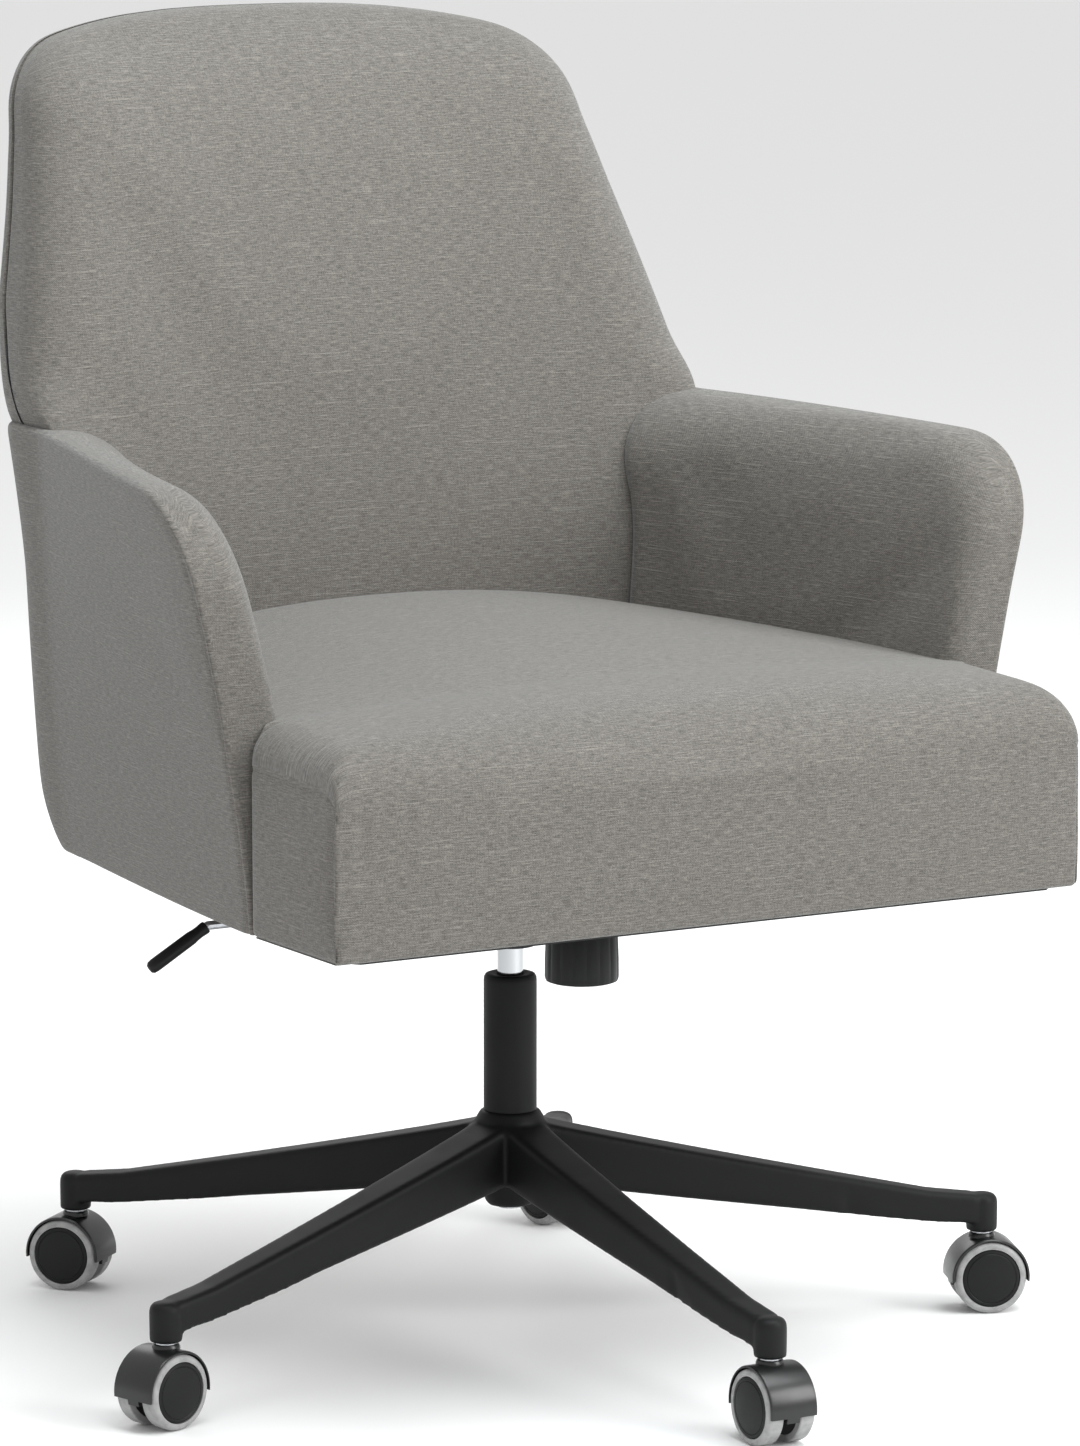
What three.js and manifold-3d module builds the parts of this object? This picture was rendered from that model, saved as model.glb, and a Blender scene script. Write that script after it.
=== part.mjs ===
// Swivel office chair: an upholstered tub seat on a gas lift, a tilt mechanism and a five-arm base.
// Millimetres, +Z up, the sitter faces -Y. The origin is on the floor, under the column.
import * as THREE from "three";
import { mergeVertices } from "three/addons/utils/BufferGeometryUtils.js";
import Module from "manifold-3d";

const wasm = await Module();
wasm.setup();

// ---------------------------------------------------------------- driving dimensions
const GAP = 0.35; // clearance between pieces that touch or run in each other
const CUT = 1; // how far a cutting tool passes the face that it opens

// Casters
const WHEEL_RADIUS = 26.3;
const TREAD_THICKNESS = 5;
const WHEEL_WIDTH = 14;
const WHEEL_SPACING = 12; // free width between the two wheels of a caster
const CASTER_TRAIL = 4; // from the swivel axis to the axle
const CASTER_HEADINGS = [-91, -22, 100, 129, -163]; // which way each caster trails, degrees
const AXLE_RADIUS = 3;
const HOOD_CLEARANCE = 0.7; // between the tread and the hood
const HOOD_WALL = 1.8;
const HOOD_WIDTH = 36;
const STEM_RADIUS = 5;
const STEM_ROOT_RADIUS = 3.4;
const STEM_LENGTH = 24; // the length inside the base

// Base
const BASE_RADIUS = 350; // from the column to each caster stem
const BASE_ARMS = 5;
const BOSS_BOTTOM = 58.5;
const BOSS_HEIGHT = 28;
const BOSS_RADIUS = 11.5;
const ARM_TIP_DEPTH = 21;
const ARM_TIP_WIDTH = 22.5;
const ARM_ROOT_DEPTH = 46;
const ARM_ROOT_WIDTH = 36;
const HUB_BOTTOM = 95;
const HUB_TOP = 164;
const HUB_RADIUS = 24;

// Column and gas lift
const TUBE_RADIUS = 19;
const TUBE_WALL = 2.5;
const TUBE_TOP = 263;
const CYLINDER_RADIUS = 9.3;
const CYLINDER_WALL = 2.3;
const CYLINDER_BOTTOM = 124;
const ROD_RADIUS = 4;
const ROD_TOP = 246;
const BUSH_LENGTH = 58;
const TAPER_TOP = 314;
const TAPER_TOP_RADIUS = 8.2;

// Tilt mechanism
const SOCKET_RADIUS = 18;
const SOCKET_BOTTOM = 283;
const BRACKET_BOTTOM = 303;
const BRACKET_FRONT_FLOOR = 315.5; // the floor steps up in front, over the knob
const BRACKET_STEP = -60;
const BRACKET_WIDTH = 84;
const BRACKET_FRONT = -130;
const BRACKET_REAR = 48;
const BRACKET_TOP = 329;
const BRACKET_REAR_TOP = 315; // lower at the rear, to clear the seat plate when it tilts
const SHEET = 2.5; // thickness of the pressed steel
const TILT_PIN_RADIUS = 5;
const TILT_PIN_Y = -45;
const TILT_PIN_Z = 320;
const BUTTON_RADIUS = 2.8;
const BUTTON_TOP = 318;
const BUTTON_LENGTH = 19;
const LEVER_PIVOT_X = -34;
const LEVER_RADIUS = 3.3;
const LEVER_REACH = 211; // from the column to the root of the grip
const LEVER_SWEEP = 60; // how far back the grip's root lies
const LEVER_DROP = 14.6;
const LEVER_PIN_RADIUS = 2.4;
const GRIP_LENGTH = 47;
const GRIP_RADIUS = 5;
const GRIP_DROOP = 33; // degrees below level
const KNOB_RADIUS = 26;
const KNOB_HEIGHT = 38;
const KNOB_Y = -100;
const KNOB_BOTTOM = 274;
const KNOB_FLUTES = 16;
const BOLT_RADIUS = 4;
const SPRING_RADIUS = 13;
const SPRING_WIRE = 1.6;
const SPRING_TURNS = 3;

// Seat
const SEAT_BOTTOM = 343;
const SEAT_WIDTH = 584;
const SEAT_FRONT = -282;
const SEAT_SEAM = 461; // top of the block's side walls
const SEAT_CROWN = 512;
const SEAT_SHOULDER = -157; // where the block ends and the arms begin
const BOARD_THICKNESS = 12;
const COVER_THICKNESS = 1.3;
const PLATE_WIDTH = 190;
const PLATE_FRONT = -142;
const PLATE_REAR = 108;

// Tub: the arms and the back
const ARM_TOP = 648;
const ARM_THICKNESS = 46;
const ARM_FLARE = 52; // how far the top of an arm stands out past the seat block
const ARM_CORNER = 95; // radius of the arm's top front corner, seen from the side
const BACK_TOP = 931;
const BACK_REAR = 268; // rear face below the recline
const RECLINE_START = 540;
const RECLINE_RUN = 124; // how far the top of the back lies behind its foot
const BACK_THICKNESS = 80; // at the seat
const BACK_TOP_THICKNESS = 64;
const BACK_WRAP = 34; // how far the sides of the back come forward of its middle
const BACK_CORNER = 62;
const FRAME_THICKNESS = 12;
const OUTSIDE_PADDING = 13; // over the rear of the frame
const FRAME_STANDOFF = 1.6; // between the frame and the outside back
const FRAME_TOP_MARGIN = 88;
const FRAME_MARGIN = 20; // from the edge of the back to the edge of its frame

// ---------------------------------------------------------------- finishes
const finish = (color, roughness, metalness = 0) =>
  new THREE.MeshStandardMaterial({ color, roughness, metalness });
const FABRIC = finish(0x86827a, 0.9);
const BLACK_METAL = finish(0x1b1c1d, 0.45, 0.3);
const BLACK_PLASTIC = finish(0x161718, 0.5);
const GREY_TREAD = finish(0x9a9b9b, 0.55);
const CHROME = finish(0xd4d6d8, 0.12, 1);
const STEEL = finish(0x8d9094, 0.35, 0.9);
const PLYWOOD = finish(0xb08a5b, 0.75);
const LINING = finish(0x1f1f20, 0.95);
const BUSHING = finish(0x2b2b2d, 0.4);

// ---------------------------------------------------------------- building blocks
const radians = THREE.MathUtils.degToRad;
const lerp = THREE.MathUtils.lerp;
const clamp = THREE.MathUtils.clamp;
const V = (x, y, z) => new THREE.Vector3(x, y, z);

// Position-only geometry with shared vertices and its faces pointing outwards.
function closed(geometry) {
  const bare = new THREE.BufferGeometry();
  bare.setAttribute("position", geometry.getAttribute("position"));
  if (geometry.index) bare.setIndex(geometry.index);
  const merged = mergeVertices(bare, 1e-4);
  const at = merged.getAttribute("position");
  const corners = merged.index.array;
  const [a, b, c] = [V(), V(), V()];
  const kept = [];
  let volume = 0;
  for (let i = 0; i < corners.length; i += 3) {
    const [p, q, r] = corners.slice(i, i + 3);
    if (p === q || q === r || r === p) continue;
    kept.push(p, q, r);
    a.fromBufferAttribute(at, p);
    b.fromBufferAttribute(at, q);
    c.fromBufferAttribute(at, r);
    volume += a.dot(b.cross(c));
  }
  merged.setIndex(volume < 0 ? kept.reverse() : kept);
  return merged;
}

function toManifold(geometry) {
  const merged = closed(geometry);
  return new wasm.Manifold(
    new wasm.Mesh({
      numProp: 3,
      vertProperties: new Float32Array(merged.getAttribute("position").array),
      triVerts: new Uint32Array(merged.index.array),
    }),
  );
}

function fromManifold(manifold) {
  const mesh = manifold.getMesh();
  const geometry = new THREE.BufferGeometry();
  geometry.setAttribute("position", new THREE.BufferAttribute(mesh.vertProperties, 3));
  geometry.setIndex(new THREE.BufferAttribute(mesh.triVerts, 1));
  return geometry;
}

const join = (...pieces) =>
  fromManifold(pieces.map(toManifold).reduce((whole, piece) => whole.add(piece)));

const cut = (body, ...tools) =>
  fromManifold(
    tools.map(toManifold).reduce((whole, tool) => whole.subtract(tool), toManifold(body)),
  );

// A turned piece: pairs of radius and height, from the axis round to the axis or back to the start.
function turned(profile, segments = 16) {
  const points = profile.map(([radius, height]) => new THREE.Vector2(radius, height));
  return closed(new THREE.LatheGeometry(points, segments).rotateX(Math.PI / 2));
}

function ring(inner, outer, bottom, top, segments = 16) {
  const profile = [
    [inner, bottom],
    [outer, bottom],
    [outer, top],
    [inner, top],
    [inner, bottom],
  ];
  return turned(profile, segments);
}

function rod(radius, bottom, top, segments = 16) {
  const profile = [
    [0, bottom],
    [radius, bottom],
    [radius, top],
    [0, top],
  ];
  return turned(profile, segments);
}

function block(x0, x1, y0, y1, z0, z1) {
  const box = new THREE.BoxGeometry(x1 - x0, y1 - y0, z1 - z0);
  return box.translate((x0 + x1) / 2, (y0 + y1) / 2, (z0 + z1) / 2);
}

// A closed skin over a row of rings that all have the same even number of points. Each end is
// closed by a strip between the first and the second half of its ring, which face each other.
function loft(rings) {
  const count = rings[0].length;
  const vertices = rings.flat();
  const faces = [];
  for (let row = 0; row + 1 < rings.length; row++)
    for (let i = 0; i < count; i++) {
      const next = (i + 1) % count;
      const [a, b] = [row * count + i, row * count + next];
      faces.push(a, b, b + count, a, b + count, a + count);
    }
  for (const row of [0, rings.length - 1])
    for (let i = 0; i + 1 < count / 2; i++) {
      const [a, b] = [row * count + i, row * count + i + 1];
      const [d, c] = [(row + 1) * count - 1 - i, (row + 1) * count - 2 - i];
      faces.push(...(row ? [a, b, c, a, c, d] : [a, c, b, a, d, c]));
    }
  const geometry = new THREE.BufferGeometry().setFromPoints(vertices);
  geometry.setIndex(faces);
  return closed(geometry);
}

const steps = (from, to, count) =>
  Array.from({ length: count + 1 }, (_, i) => lerp(from, to, i / count));

// ---------------------------------------------------------------- chair tree
const chair = new THREE.Group();

function place(parent, name, geometry, material) {
  const mesh = new THREE.Mesh(geometry, material);
  mesh.name = name;
  parent.add(mesh);
}

// ---------------------------------------------------------------- base
const armAngle = (i) => radians(-90 + (360 / BASE_ARMS) * i);
const bossTop = BOSS_BOTTOM + BOSS_HEIGHT;

// One arm along +X: a bar with a rounded ridge, deep at the hub and slim at the caster.
function baseArm() {
  const sections = [
    [4, 0],
    [60, 0.1],
    [190, 0.52],
    [BASE_RADIUS - 14, 1],
  ];
  return loft(
    sections.map(([reach, share]) => {
      const half = lerp(ARM_ROOT_WIDTH, ARM_TIP_WIDTH, share) / 2;
      const top = lerp(HUB_TOP, bossTop, share);
      const deep = lerp(ARM_ROOT_DEPTH, ARM_TIP_DEPTH, share);
      const outline = [
        [-half, 0.92],
        [-half, 0.45],
        [-half * 0.75, 0.16],
        [-half * 0.3, 0],
        [half * 0.3, 0],
        [half * 0.75, 0.16],
        [half, 0.45],
        [half, 0.92],
        [half * 0.8, 1],
        [-half * 0.8, 1],
      ];
      return outline.map(([y, down]) => V(reach, y, top - down * deep));
    }),
  );
}

function baseStar() {
  const boss = turned(
    [
      [0, BOSS_BOTTOM],
      [BOSS_RADIUS, BOSS_BOTTOM],
      [BOSS_RADIUS, bossTop - 7],
      [BOSS_RADIUS - 3, bossTop - 1.5],
      [0, bossTop],
    ],
    12,
  ).translate(BASE_RADIUS, 0, 0);
  const reach = join(
    baseArm(),
    boss,
    block(
      BASE_RADIUS - 26,
      BASE_RADIUS - 2,
      -BOSS_RADIUS + 1,
      BOSS_RADIUS - 1,
      bossTop - 20,
      bossTop - 4,
    ),
  );
  const arms = Array.from({ length: BASE_ARMS }, (_, i) => reach.clone().rotateZ(armAngle(i)));
  const hub = turned([
    [0, HUB_BOTTOM],
    [TUBE_RADIUS - 3, HUB_BOTTOM],
    [TUBE_RADIUS - 1, HUB_BOTTOM + 3],
    [HUB_RADIUS, HUB_TOP - ARM_ROOT_DEPTH],
    [HUB_RADIUS, HUB_TOP - 2],
    [HUB_RADIUS - 2, HUB_TOP],
    [0, HUB_TOP],
  ], 20);
  const bores = Array.from({ length: BASE_ARMS }, (_, i) =>
    rod(STEM_RADIUS + GAP, BOSS_BOTTOM - CUT, BOSS_BOTTOM + STEM_LENGTH + GAP, 10)
      .translate(BASE_RADIUS, 0, 0)
      .rotateZ(armAngle(i)),
  );
  const columnBore = rod(TUBE_RADIUS - TUBE_WALL + 2 * GAP, HUB_BOTTOM + 6, HUB_TOP + CUT, 18);
  const clipBore = rod(ROD_RADIUS + GAP, HUB_BOTTOM - CUT, HUB_BOTTOM + 7, 12);
  return cut(join(hub, ...arms), ...bores, columnBore, clipBore);
}

place(chair, "base_star", baseStar(), BLACK_METAL);

// ---------------------------------------------------------------- casters
const axleHeight = WHEEL_RADIUS;
const hoodRadius = WHEEL_RADIUS + HOOD_CLEARANCE + HOOD_WALL;
const wheelInner = WHEEL_SPACING / 2;
const wheelOuter = wheelInner + WHEEL_WIDTH;
const rimRadius = WHEEL_RADIUS - TREAD_THICKNESS;
const hoodCrest = axleHeight + hoodRadius;
const hoodTop = axleHeight + Math.sqrt(hoodRadius ** 2 - CASTER_TRAIL ** 2);
const axleLength = 2 * (wheelInner + WHEEL_WIDTH * 0.7);

// In a caster's frame the swivel axis is Z, and the axle lies along Y at +X.
const onAxle = (geometry) =>
  geometry.rotateX(-Math.PI / 2).translate(CASTER_TRAIL, 0, axleHeight);

// The half-round hood with its middle web, as outlines seen along the axle.
function hoodShape(inner, outer) {
  const shape = new THREE.Shape();
  const droop = radians(4);
  shape.absarc(0, 0, outer, -droop, Math.PI + droop, false);
  shape.absarc(0, 0, inner, Math.PI + droop, -droop, true);
  return shape;
}

function casterHood() {
  const options = (depth) => ({ depth, bevelEnabled: false, curveSegments: 10 });
  const upright = (geometry, depth) =>
    geometry
      .translate(0, 0, -depth / 2)
      .rotateX(Math.PI / 2)
      .translate(CASTER_TRAIL, 0, axleHeight);
  const shellShape = hoodShape(hoodRadius - HOOD_WALL, hoodRadius);
  const shell = upright(new THREE.ExtrudeGeometry(shellShape, options(HOOD_WIDTH)), HOOD_WIDTH);
  const webWidth = WHEEL_SPACING - 2;
  const webShape = new THREE.Shape();
  webShape.absarc(0, 0, hoodRadius - HOOD_WALL / 2, 0.12, Math.PI - 0.12, false);
  webShape.lineTo(-AXLE_RADIUS * 2.4, -AXLE_RADIUS * 1.2);
  webShape.lineTo(-AXLE_RADIUS, -AXLE_RADIUS * 2.4);
  webShape.lineTo(AXLE_RADIUS, -AXLE_RADIUS * 2.4);
  webShape.lineTo(AXLE_RADIUS * 2.4, -AXLE_RADIUS * 1.2);
  const web = upright(new THREE.ExtrudeGeometry(webShape, options(webWidth)), webWidth);
  const axleBore = onAxle(rod(AXLE_RADIUS + GAP, -WHEEL_SPACING, WHEEL_SPACING, 10));
  const stemBore = rod(STEM_ROOT_RADIUS + GAP, hoodTop - 14, hoodTop + 5, 10);
  return cut(join(shell, web), axleBore, stemBore);
}

const casterStem = () =>
  turned(
    [
      [0, hoodTop - 13.5],
      [STEM_ROOT_RADIUS, hoodTop - 13.5],
      [STEM_ROOT_RADIUS, hoodCrest + GAP],
      [STEM_RADIUS + 2.5, hoodCrest + GAP],
      [STEM_RADIUS + 2.5, BOSS_BOTTOM - GAP],
      [STEM_RADIUS, BOSS_BOTTOM - GAP],
      [STEM_RADIUS, BOSS_BOTTOM + STEM_LENGTH - 1],
      [0, BOSS_BOTTOM + STEM_LENGTH - 1],
    ],
    10,
  );

// A wheel on +Y: a black dished disc with a blind bore for the axle.
function casterWheel() {
  const radius = rimRadius - GAP;
  const boreEnd = axleLength / 2 + GAP;
  const profile = [
    [0, boreEnd],
    [AXLE_RADIUS + GAP, boreEnd],
    [AXLE_RADIUS + GAP, wheelInner],
    [radius, wheelInner],
    [radius, wheelOuter - 2.5],
    [radius - 2, wheelOuter - 0.6],
    [0, wheelOuter],
  ];
  return turned(profile, 16);
}

function casterTread() {
  const profile = [
    [rimRadius, wheelInner + 0.5],
    [WHEEL_RADIUS, wheelInner + 0.5],
    [WHEEL_RADIUS, wheelOuter - 3.5],
    [WHEEL_RADIUS - 1.5, wheelOuter - 1.5],
    [rimRadius, wheelOuter - 1.5],
    [rimRadius, wheelInner + 0.5],
  ];
  return turned(profile, 20);
}

for (let i = 0; i < BASE_ARMS; i++) {
  const caster = new THREE.Group();
  caster.position.set(
    BASE_RADIUS * Math.cos(armAngle(i)),
    BASE_RADIUS * Math.sin(armAngle(i)),
    0,
  );
  caster.rotation.z = radians(CASTER_HEADINGS[i]);
  const name = `caster_${i + 1}`;
  place(caster, `${name}_stem`, casterStem(), STEEL);
  place(caster, `${name}_hood`, casterHood(), BLACK_PLASTIC);
  place(caster, `${name}_axle`, onAxle(rod(AXLE_RADIUS, -axleLength / 2, axleLength / 2, 10)), STEEL);
  for (const [side, turn] of [["left", 0], ["right", Math.PI]]) {
    const turnedRound = (geometry) => onAxle(geometry.rotateX(turn));
    place(caster, `${name}_wheel_${side}`, turnedRound(casterWheel()), BLACK_PLASTIC);
    place(caster, `${name}_tread_${side}`, turnedRound(casterTread()), GREY_TREAD);
  }
  chair.add(caster);
}

// ---------------------------------------------------------------- column and gas lift
const tubeBore = TUBE_RADIUS - TUBE_WALL;
const tubeFoot = HUB_BOTTOM + 6 + GAP;
const clipTop = tubeFoot + 4;

// The tube stands in the hub on a thinner spigot, and its floor carries the piston rod.
const columnTube = () =>
  turned([
    [ROD_RADIUS + GAP, tubeFoot],
    [tubeBore, tubeFoot],
    [tubeBore, HUB_TOP + GAP],
    [TUBE_RADIUS, HUB_TOP + GAP],
    [TUBE_RADIUS, TUBE_TOP - 1.5],
    [TUBE_RADIUS - 1.5, TUBE_TOP],
    [tubeBore - 2 * GAP, TUBE_TOP],
    [tubeBore - 2 * GAP, HUB_TOP + TUBE_WALL],
    [tubeBore - TUBE_WALL, HUB_TOP],
    [tubeBore - TUBE_WALL, clipTop],
    [ROD_RADIUS + GAP, clipTop],
    [ROD_RADIUS + GAP, tubeFoot],
  ], 18);

place(chair, "column_tube", columnTube(), BLACK_METAL);

const bushOuter = tubeBore - 3 * GAP;
place(
  chair,
  "guide_bush",
  ring(CYLINDER_RADIUS + 2 * GAP, bushOuter, TUBE_TOP - BUSH_LENGTH, TUBE_TOP - 1, 18),
  BUSHING,
);
place(
  chair,
  "thrust_bearing",
  ring(ROD_RADIUS + GAP, CYLINDER_RADIUS + 1.5, clipTop + GAP, clipTop + 6),
  STEEL,
);
place(
  chair,
  "piston_rod",
  turned([
    [0, HUB_BOTTOM - 2.5],
    [ROD_RADIUS, HUB_BOTTOM - 2.5],
    [ROD_RADIUS, ROD_TOP - 10],
    [CYLINDER_RADIUS - CYLINDER_WALL - GAP, ROD_TOP - 10],
    [CYLINDER_RADIUS - CYLINDER_WALL - GAP, ROD_TOP],
    [0, ROD_TOP],
  ]),
  STEEL,
);
place(
  chair,
  "retaining_clip",
  ring(ROD_RADIUS + GAP, ROD_RADIUS + 5, HUB_BOTTOM - 2, HUB_BOTTOM - GAP),
  STEEL,
);

// The pressure cylinder slides over the rod, and its tapered top plugs into the mechanism.
const buttonBore = BUTTON_RADIUS + GAP;
const gasCylinder = () =>
  turned([
    [ROD_RADIUS + GAP, CYLINDER_BOTTOM],
    [CYLINDER_RADIUS, CYLINDER_BOTTOM],
    [CYLINDER_RADIUS, SOCKET_BOTTOM],
    [TAPER_TOP_RADIUS, TAPER_TOP],
    [buttonBore, TAPER_TOP],
    [buttonBore, BUTTON_TOP - BUTTON_LENGTH - 5],
    [0, BUTTON_TOP - BUTTON_LENGTH - 5],
    [0, ROD_TOP + 20],
    [CYLINDER_RADIUS - CYLINDER_WALL, ROD_TOP + 20],
    [CYLINDER_RADIUS - CYLINDER_WALL, CYLINDER_BOTTOM + 8],
    [ROD_RADIUS + GAP, CYLINDER_BOTTOM + 8],
    [ROD_RADIUS + GAP, CYLINDER_BOTTOM],
  ], 16);

place(chair, "gas_cylinder", gasCylinder(), CHROME);
place(
  chair,
  "release_button",
  rod(BUTTON_RADIUS, BUTTON_TOP - BUTTON_LENGTH, BUTTON_TOP, 12),
  STEEL,
);

// ---------------------------------------------------------------- tilt mechanism
const wallOuter = BRACKET_WIDTH / 2;
const bracketLength = BRACKET_REAR - BRACKET_FRONT;
const leverSlope = LEVER_DROP / LEVER_REACH;
const leverZ = (x) => BUTTON_TOP + LEVER_RADIUS + GAP + leverSlope * x;
const leverY = (x) => (-x * LEVER_SWEEP) / LEVER_REACH;
const pivotEar = 11; // half the space between the two ears that hold the lever's pin
const alongX = (geometry) => geometry.rotateY(Math.PI / 2);
const alongY = (geometry) => geometry.rotateX(-Math.PI / 2);

function tiltBracket() {
  const sheet = (y0, y1, z0, z1) => block(-wallOuter, wallOuter, y0, y1, z0, z1);
  const rearFloor = sheet(BRACKET_STEP, BRACKET_REAR, BRACKET_BOTTOM, BRACKET_BOTTOM + SHEET);
  const frontTop = BRACKET_FRONT_FLOOR + SHEET;
  const frontFloor = sheet(BRACKET_FRONT, BRACKET_STEP + SHEET, BRACKET_FRONT_FLOOR, frontTop);
  const step = sheet(BRACKET_STEP, BRACKET_STEP + SHEET, BRACKET_BOTTOM, frontTop);
  const side = new THREE.Shape([
    new THREE.Vector2(BRACKET_FRONT, BRACKET_FRONT_FLOOR),
    new THREE.Vector2(BRACKET_STEP, BRACKET_FRONT_FLOOR),
    new THREE.Vector2(BRACKET_STEP, BRACKET_BOTTOM),
    new THREE.Vector2(BRACKET_REAR, BRACKET_BOTTOM),
    new THREE.Vector2(BRACKET_REAR, BRACKET_REAR_TOP),
    new THREE.Vector2(TILT_PIN_Y + 30, BRACKET_TOP),
    new THREE.Vector2(BRACKET_FRONT, BRACKET_TOP),
  ]);
  const walls = [-wallOuter, wallOuter - SHEET].map((x) =>
    new THREE.ExtrudeGeometry(side, { depth: SHEET, bevelEnabled: false })
      .rotateX(Math.PI / 2)
      .rotateZ(Math.PI / 2)
      .translate(x, 0, 0),
  );
  const socket = rod(SOCKET_RADIUS, SOCKET_BOTTOM + GAP, TAPER_TOP - 6, 24);
  const ears = [-1, 1].map((end) =>
    block(
      LEVER_PIVOT_X - 7,
      LEVER_PIVOT_X + 7,
      leverY(LEVER_PIVOT_X) + end * (pivotEar + 1.5) - 1.5,
      leverY(LEVER_PIVOT_X) + end * (pivotEar + 1.5) + 1.5,
      BRACKET_BOTTOM,
      leverZ(LEVER_PIVOT_X) + 4,
    ),
  );
  const taper = turned([
    [0, SOCKET_BOTTOM - CUT],
    [CYLINDER_RADIUS + GAP, SOCKET_BOTTOM - CUT],
    [CYLINDER_RADIUS + GAP, SOCKET_BOTTOM],
    [TAPER_TOP_RADIUS + GAP, TAPER_TOP],
    [0, TAPER_TOP],
  ], 20);
  const pinBore = alongX(rod(TILT_PIN_RADIUS + GAP, -wallOuter - CUT, wallOuter + CUT)).translate(
    0,
    TILT_PIN_Y,
    TILT_PIN_Z,
  );
  const leverPinBore = alongY(rod(LEVER_PIN_RADIUS + GAP, -20, 20, 12)).translate(
    LEVER_PIVOT_X,
    leverY(LEVER_PIVOT_X),
    leverZ(LEVER_PIVOT_X),
  );
  const boltBore = rod(BOLT_RADIUS + GAP, BRACKET_FRONT_FLOOR - CUT, frontTop + CUT);
  const boltHole = boltBore.translate(0, KNOB_Y, 0);
  const leverNotch = block(
    -wallOuter - CUT,
    -wallOuter + SHEET + CUT,
    leverY(-wallOuter) - 6,
    leverY(-wallOuter) + 6,
    leverZ(-wallOuter) - 6,
    BRACKET_TOP + CUT,
  );
  const whole = join(rearFloor, frontFloor, step, ...walls, ...ears, socket);
  return cut(whole, taper, pinBore, leverPinBore, boltHole, leverNotch);
}

place(chair, "tilt_bracket", tiltBracket(), BLACK_METAL);

const flangeReach = wallOuter + GAP + SHEET;
const pinHalf = flangeReach + 4;
place(
  chair,
  "tilt_pin",
  alongX(rod(TILT_PIN_RADIUS, -pinHalf, pinHalf)).translate(0, TILT_PIN_Y, TILT_PIN_Z),
  STEEL,
);

const coverBottom = SEAT_BOTTOM - GAP - COVER_THICKNESS;
const plateTop = coverBottom - GAP;
const plateBottom = plateTop - SHEET;

function seatPlate() {
  const flat = block(
    -PLATE_WIDTH / 2,
    PLATE_WIDTH / 2,
    PLATE_FRONT,
    PLATE_REAR,
    plateBottom,
    plateTop,
  );
  const flanges = [-1, 1].map((side) => {
    const [near, far] = [wallOuter + GAP, flangeReach].map((x) => side * x);
    return block(
      Math.min(near, far),
      Math.max(near, far),
      TILT_PIN_Y - 18,
      TILT_PIN_Y + 18,
      TILT_PIN_Z - 13,
      plateTop,
    );
  });
  const pinBore = alongX(rod(TILT_PIN_RADIUS + GAP, -flangeReach - CUT, flangeReach + CUT));
  return cut(join(flat, ...flanges), pinBore.translate(0, TILT_PIN_Y, TILT_PIN_Z));
}

place(chair, "seat_plate", seatPlate(), BLACK_METAL);

function springCoil() {
  const bottom = BRACKET_FRONT_FLOOR + SHEET + SPRING_WIRE + GAP;
  const top = plateBottom - 7;
  const path = new THREE.CatmullRomCurve3(
    steps(0, 1, SPRING_TURNS * 10).map((share) => {
      const turn = share * SPRING_TURNS * 2 * Math.PI;
      return V(
        SPRING_RADIUS * Math.cos(turn),
        SPRING_RADIUS * Math.sin(turn),
        lerp(bottom, top, share),
      );
    }),
  );
  const wire = new THREE.Shape();
  wire.absarc(0, 0, SPRING_WIRE, 0, 2 * Math.PI, false);
  return closed(
    new THREE.ExtrudeGeometry(wire, {
      steps: SPRING_TURNS * 12,
      curveSegments: 3,
      extrudePath: path,
    }),
  ).translate(0, KNOB_Y, 0);
}

const knobTop = KNOB_BOTTOM + KNOB_HEIGHT;
const knobBore = BOLT_RADIUS + GAP;

place(chair, "tension_spring", springCoil(), STEEL);
place(
  chair,
  "tension_bolt",
  turned([
    [0, KNOB_BOTTOM + 5],
    [BOLT_RADIUS, KNOB_BOTTOM + 5],
    [BOLT_RADIUS, plateBottom - 4],
    [0, plateBottom - 4],
  ]).translate(0, KNOB_Y, 0),
  STEEL,
);

// A fluted hand knob, a little wider at its foot.
function tensionKnob() {
  const count = KNOB_FLUTES * 3;
  const level = (z, radius) =>
    Array.from({ length: count }, (_, i) => {
      const angle = (i / count) * 2 * Math.PI;
      const groove = i % 3 === 0 ? 1.1 : 0;
      return V(
        (radius - groove) * Math.cos(angle),
        (radius - groove) * Math.sin(angle),
        z,
      );
    });
  const body = loft([
    level(KNOB_BOTTOM, KNOB_RADIUS - 2),
    level(KNOB_BOTTOM + 2, KNOB_RADIUS),
    level(knobTop - 1.5, KNOB_RADIUS - 1),
    level(knobTop, KNOB_RADIUS - 2.5),
  ]);
  const bore = rod(knobBore, KNOB_BOTTOM + 4, knobTop + CUT);
  return cut(body, bore).translate(0, KNOB_Y, 0);
}

place(chair, "tension_knob", tensionKnob(), BLACK_PLASTIC);

// ---------------------------------------------------------------- release lever
const gripRoot = V(-LEVER_REACH, LEVER_SWEEP, leverZ(-LEVER_REACH));
const droop = radians(GRIP_DROOP);
const gripAxis = V(-Math.cos(droop), 0.12, -Math.sin(droop)).normalize();

// A round bar between two points.
function bar(from, to, radius, segments = 10) {
  const reach = to.clone().sub(from);
  const turn = new THREE.Quaternion().setFromUnitVectors(V(0, 0, 1), reach.clone().normalize());
  const geometry = rod(radius, 0, reach.length(), segments);
  return geometry.applyQuaternion(turn).translate(from.x, from.y, from.z);
}

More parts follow.
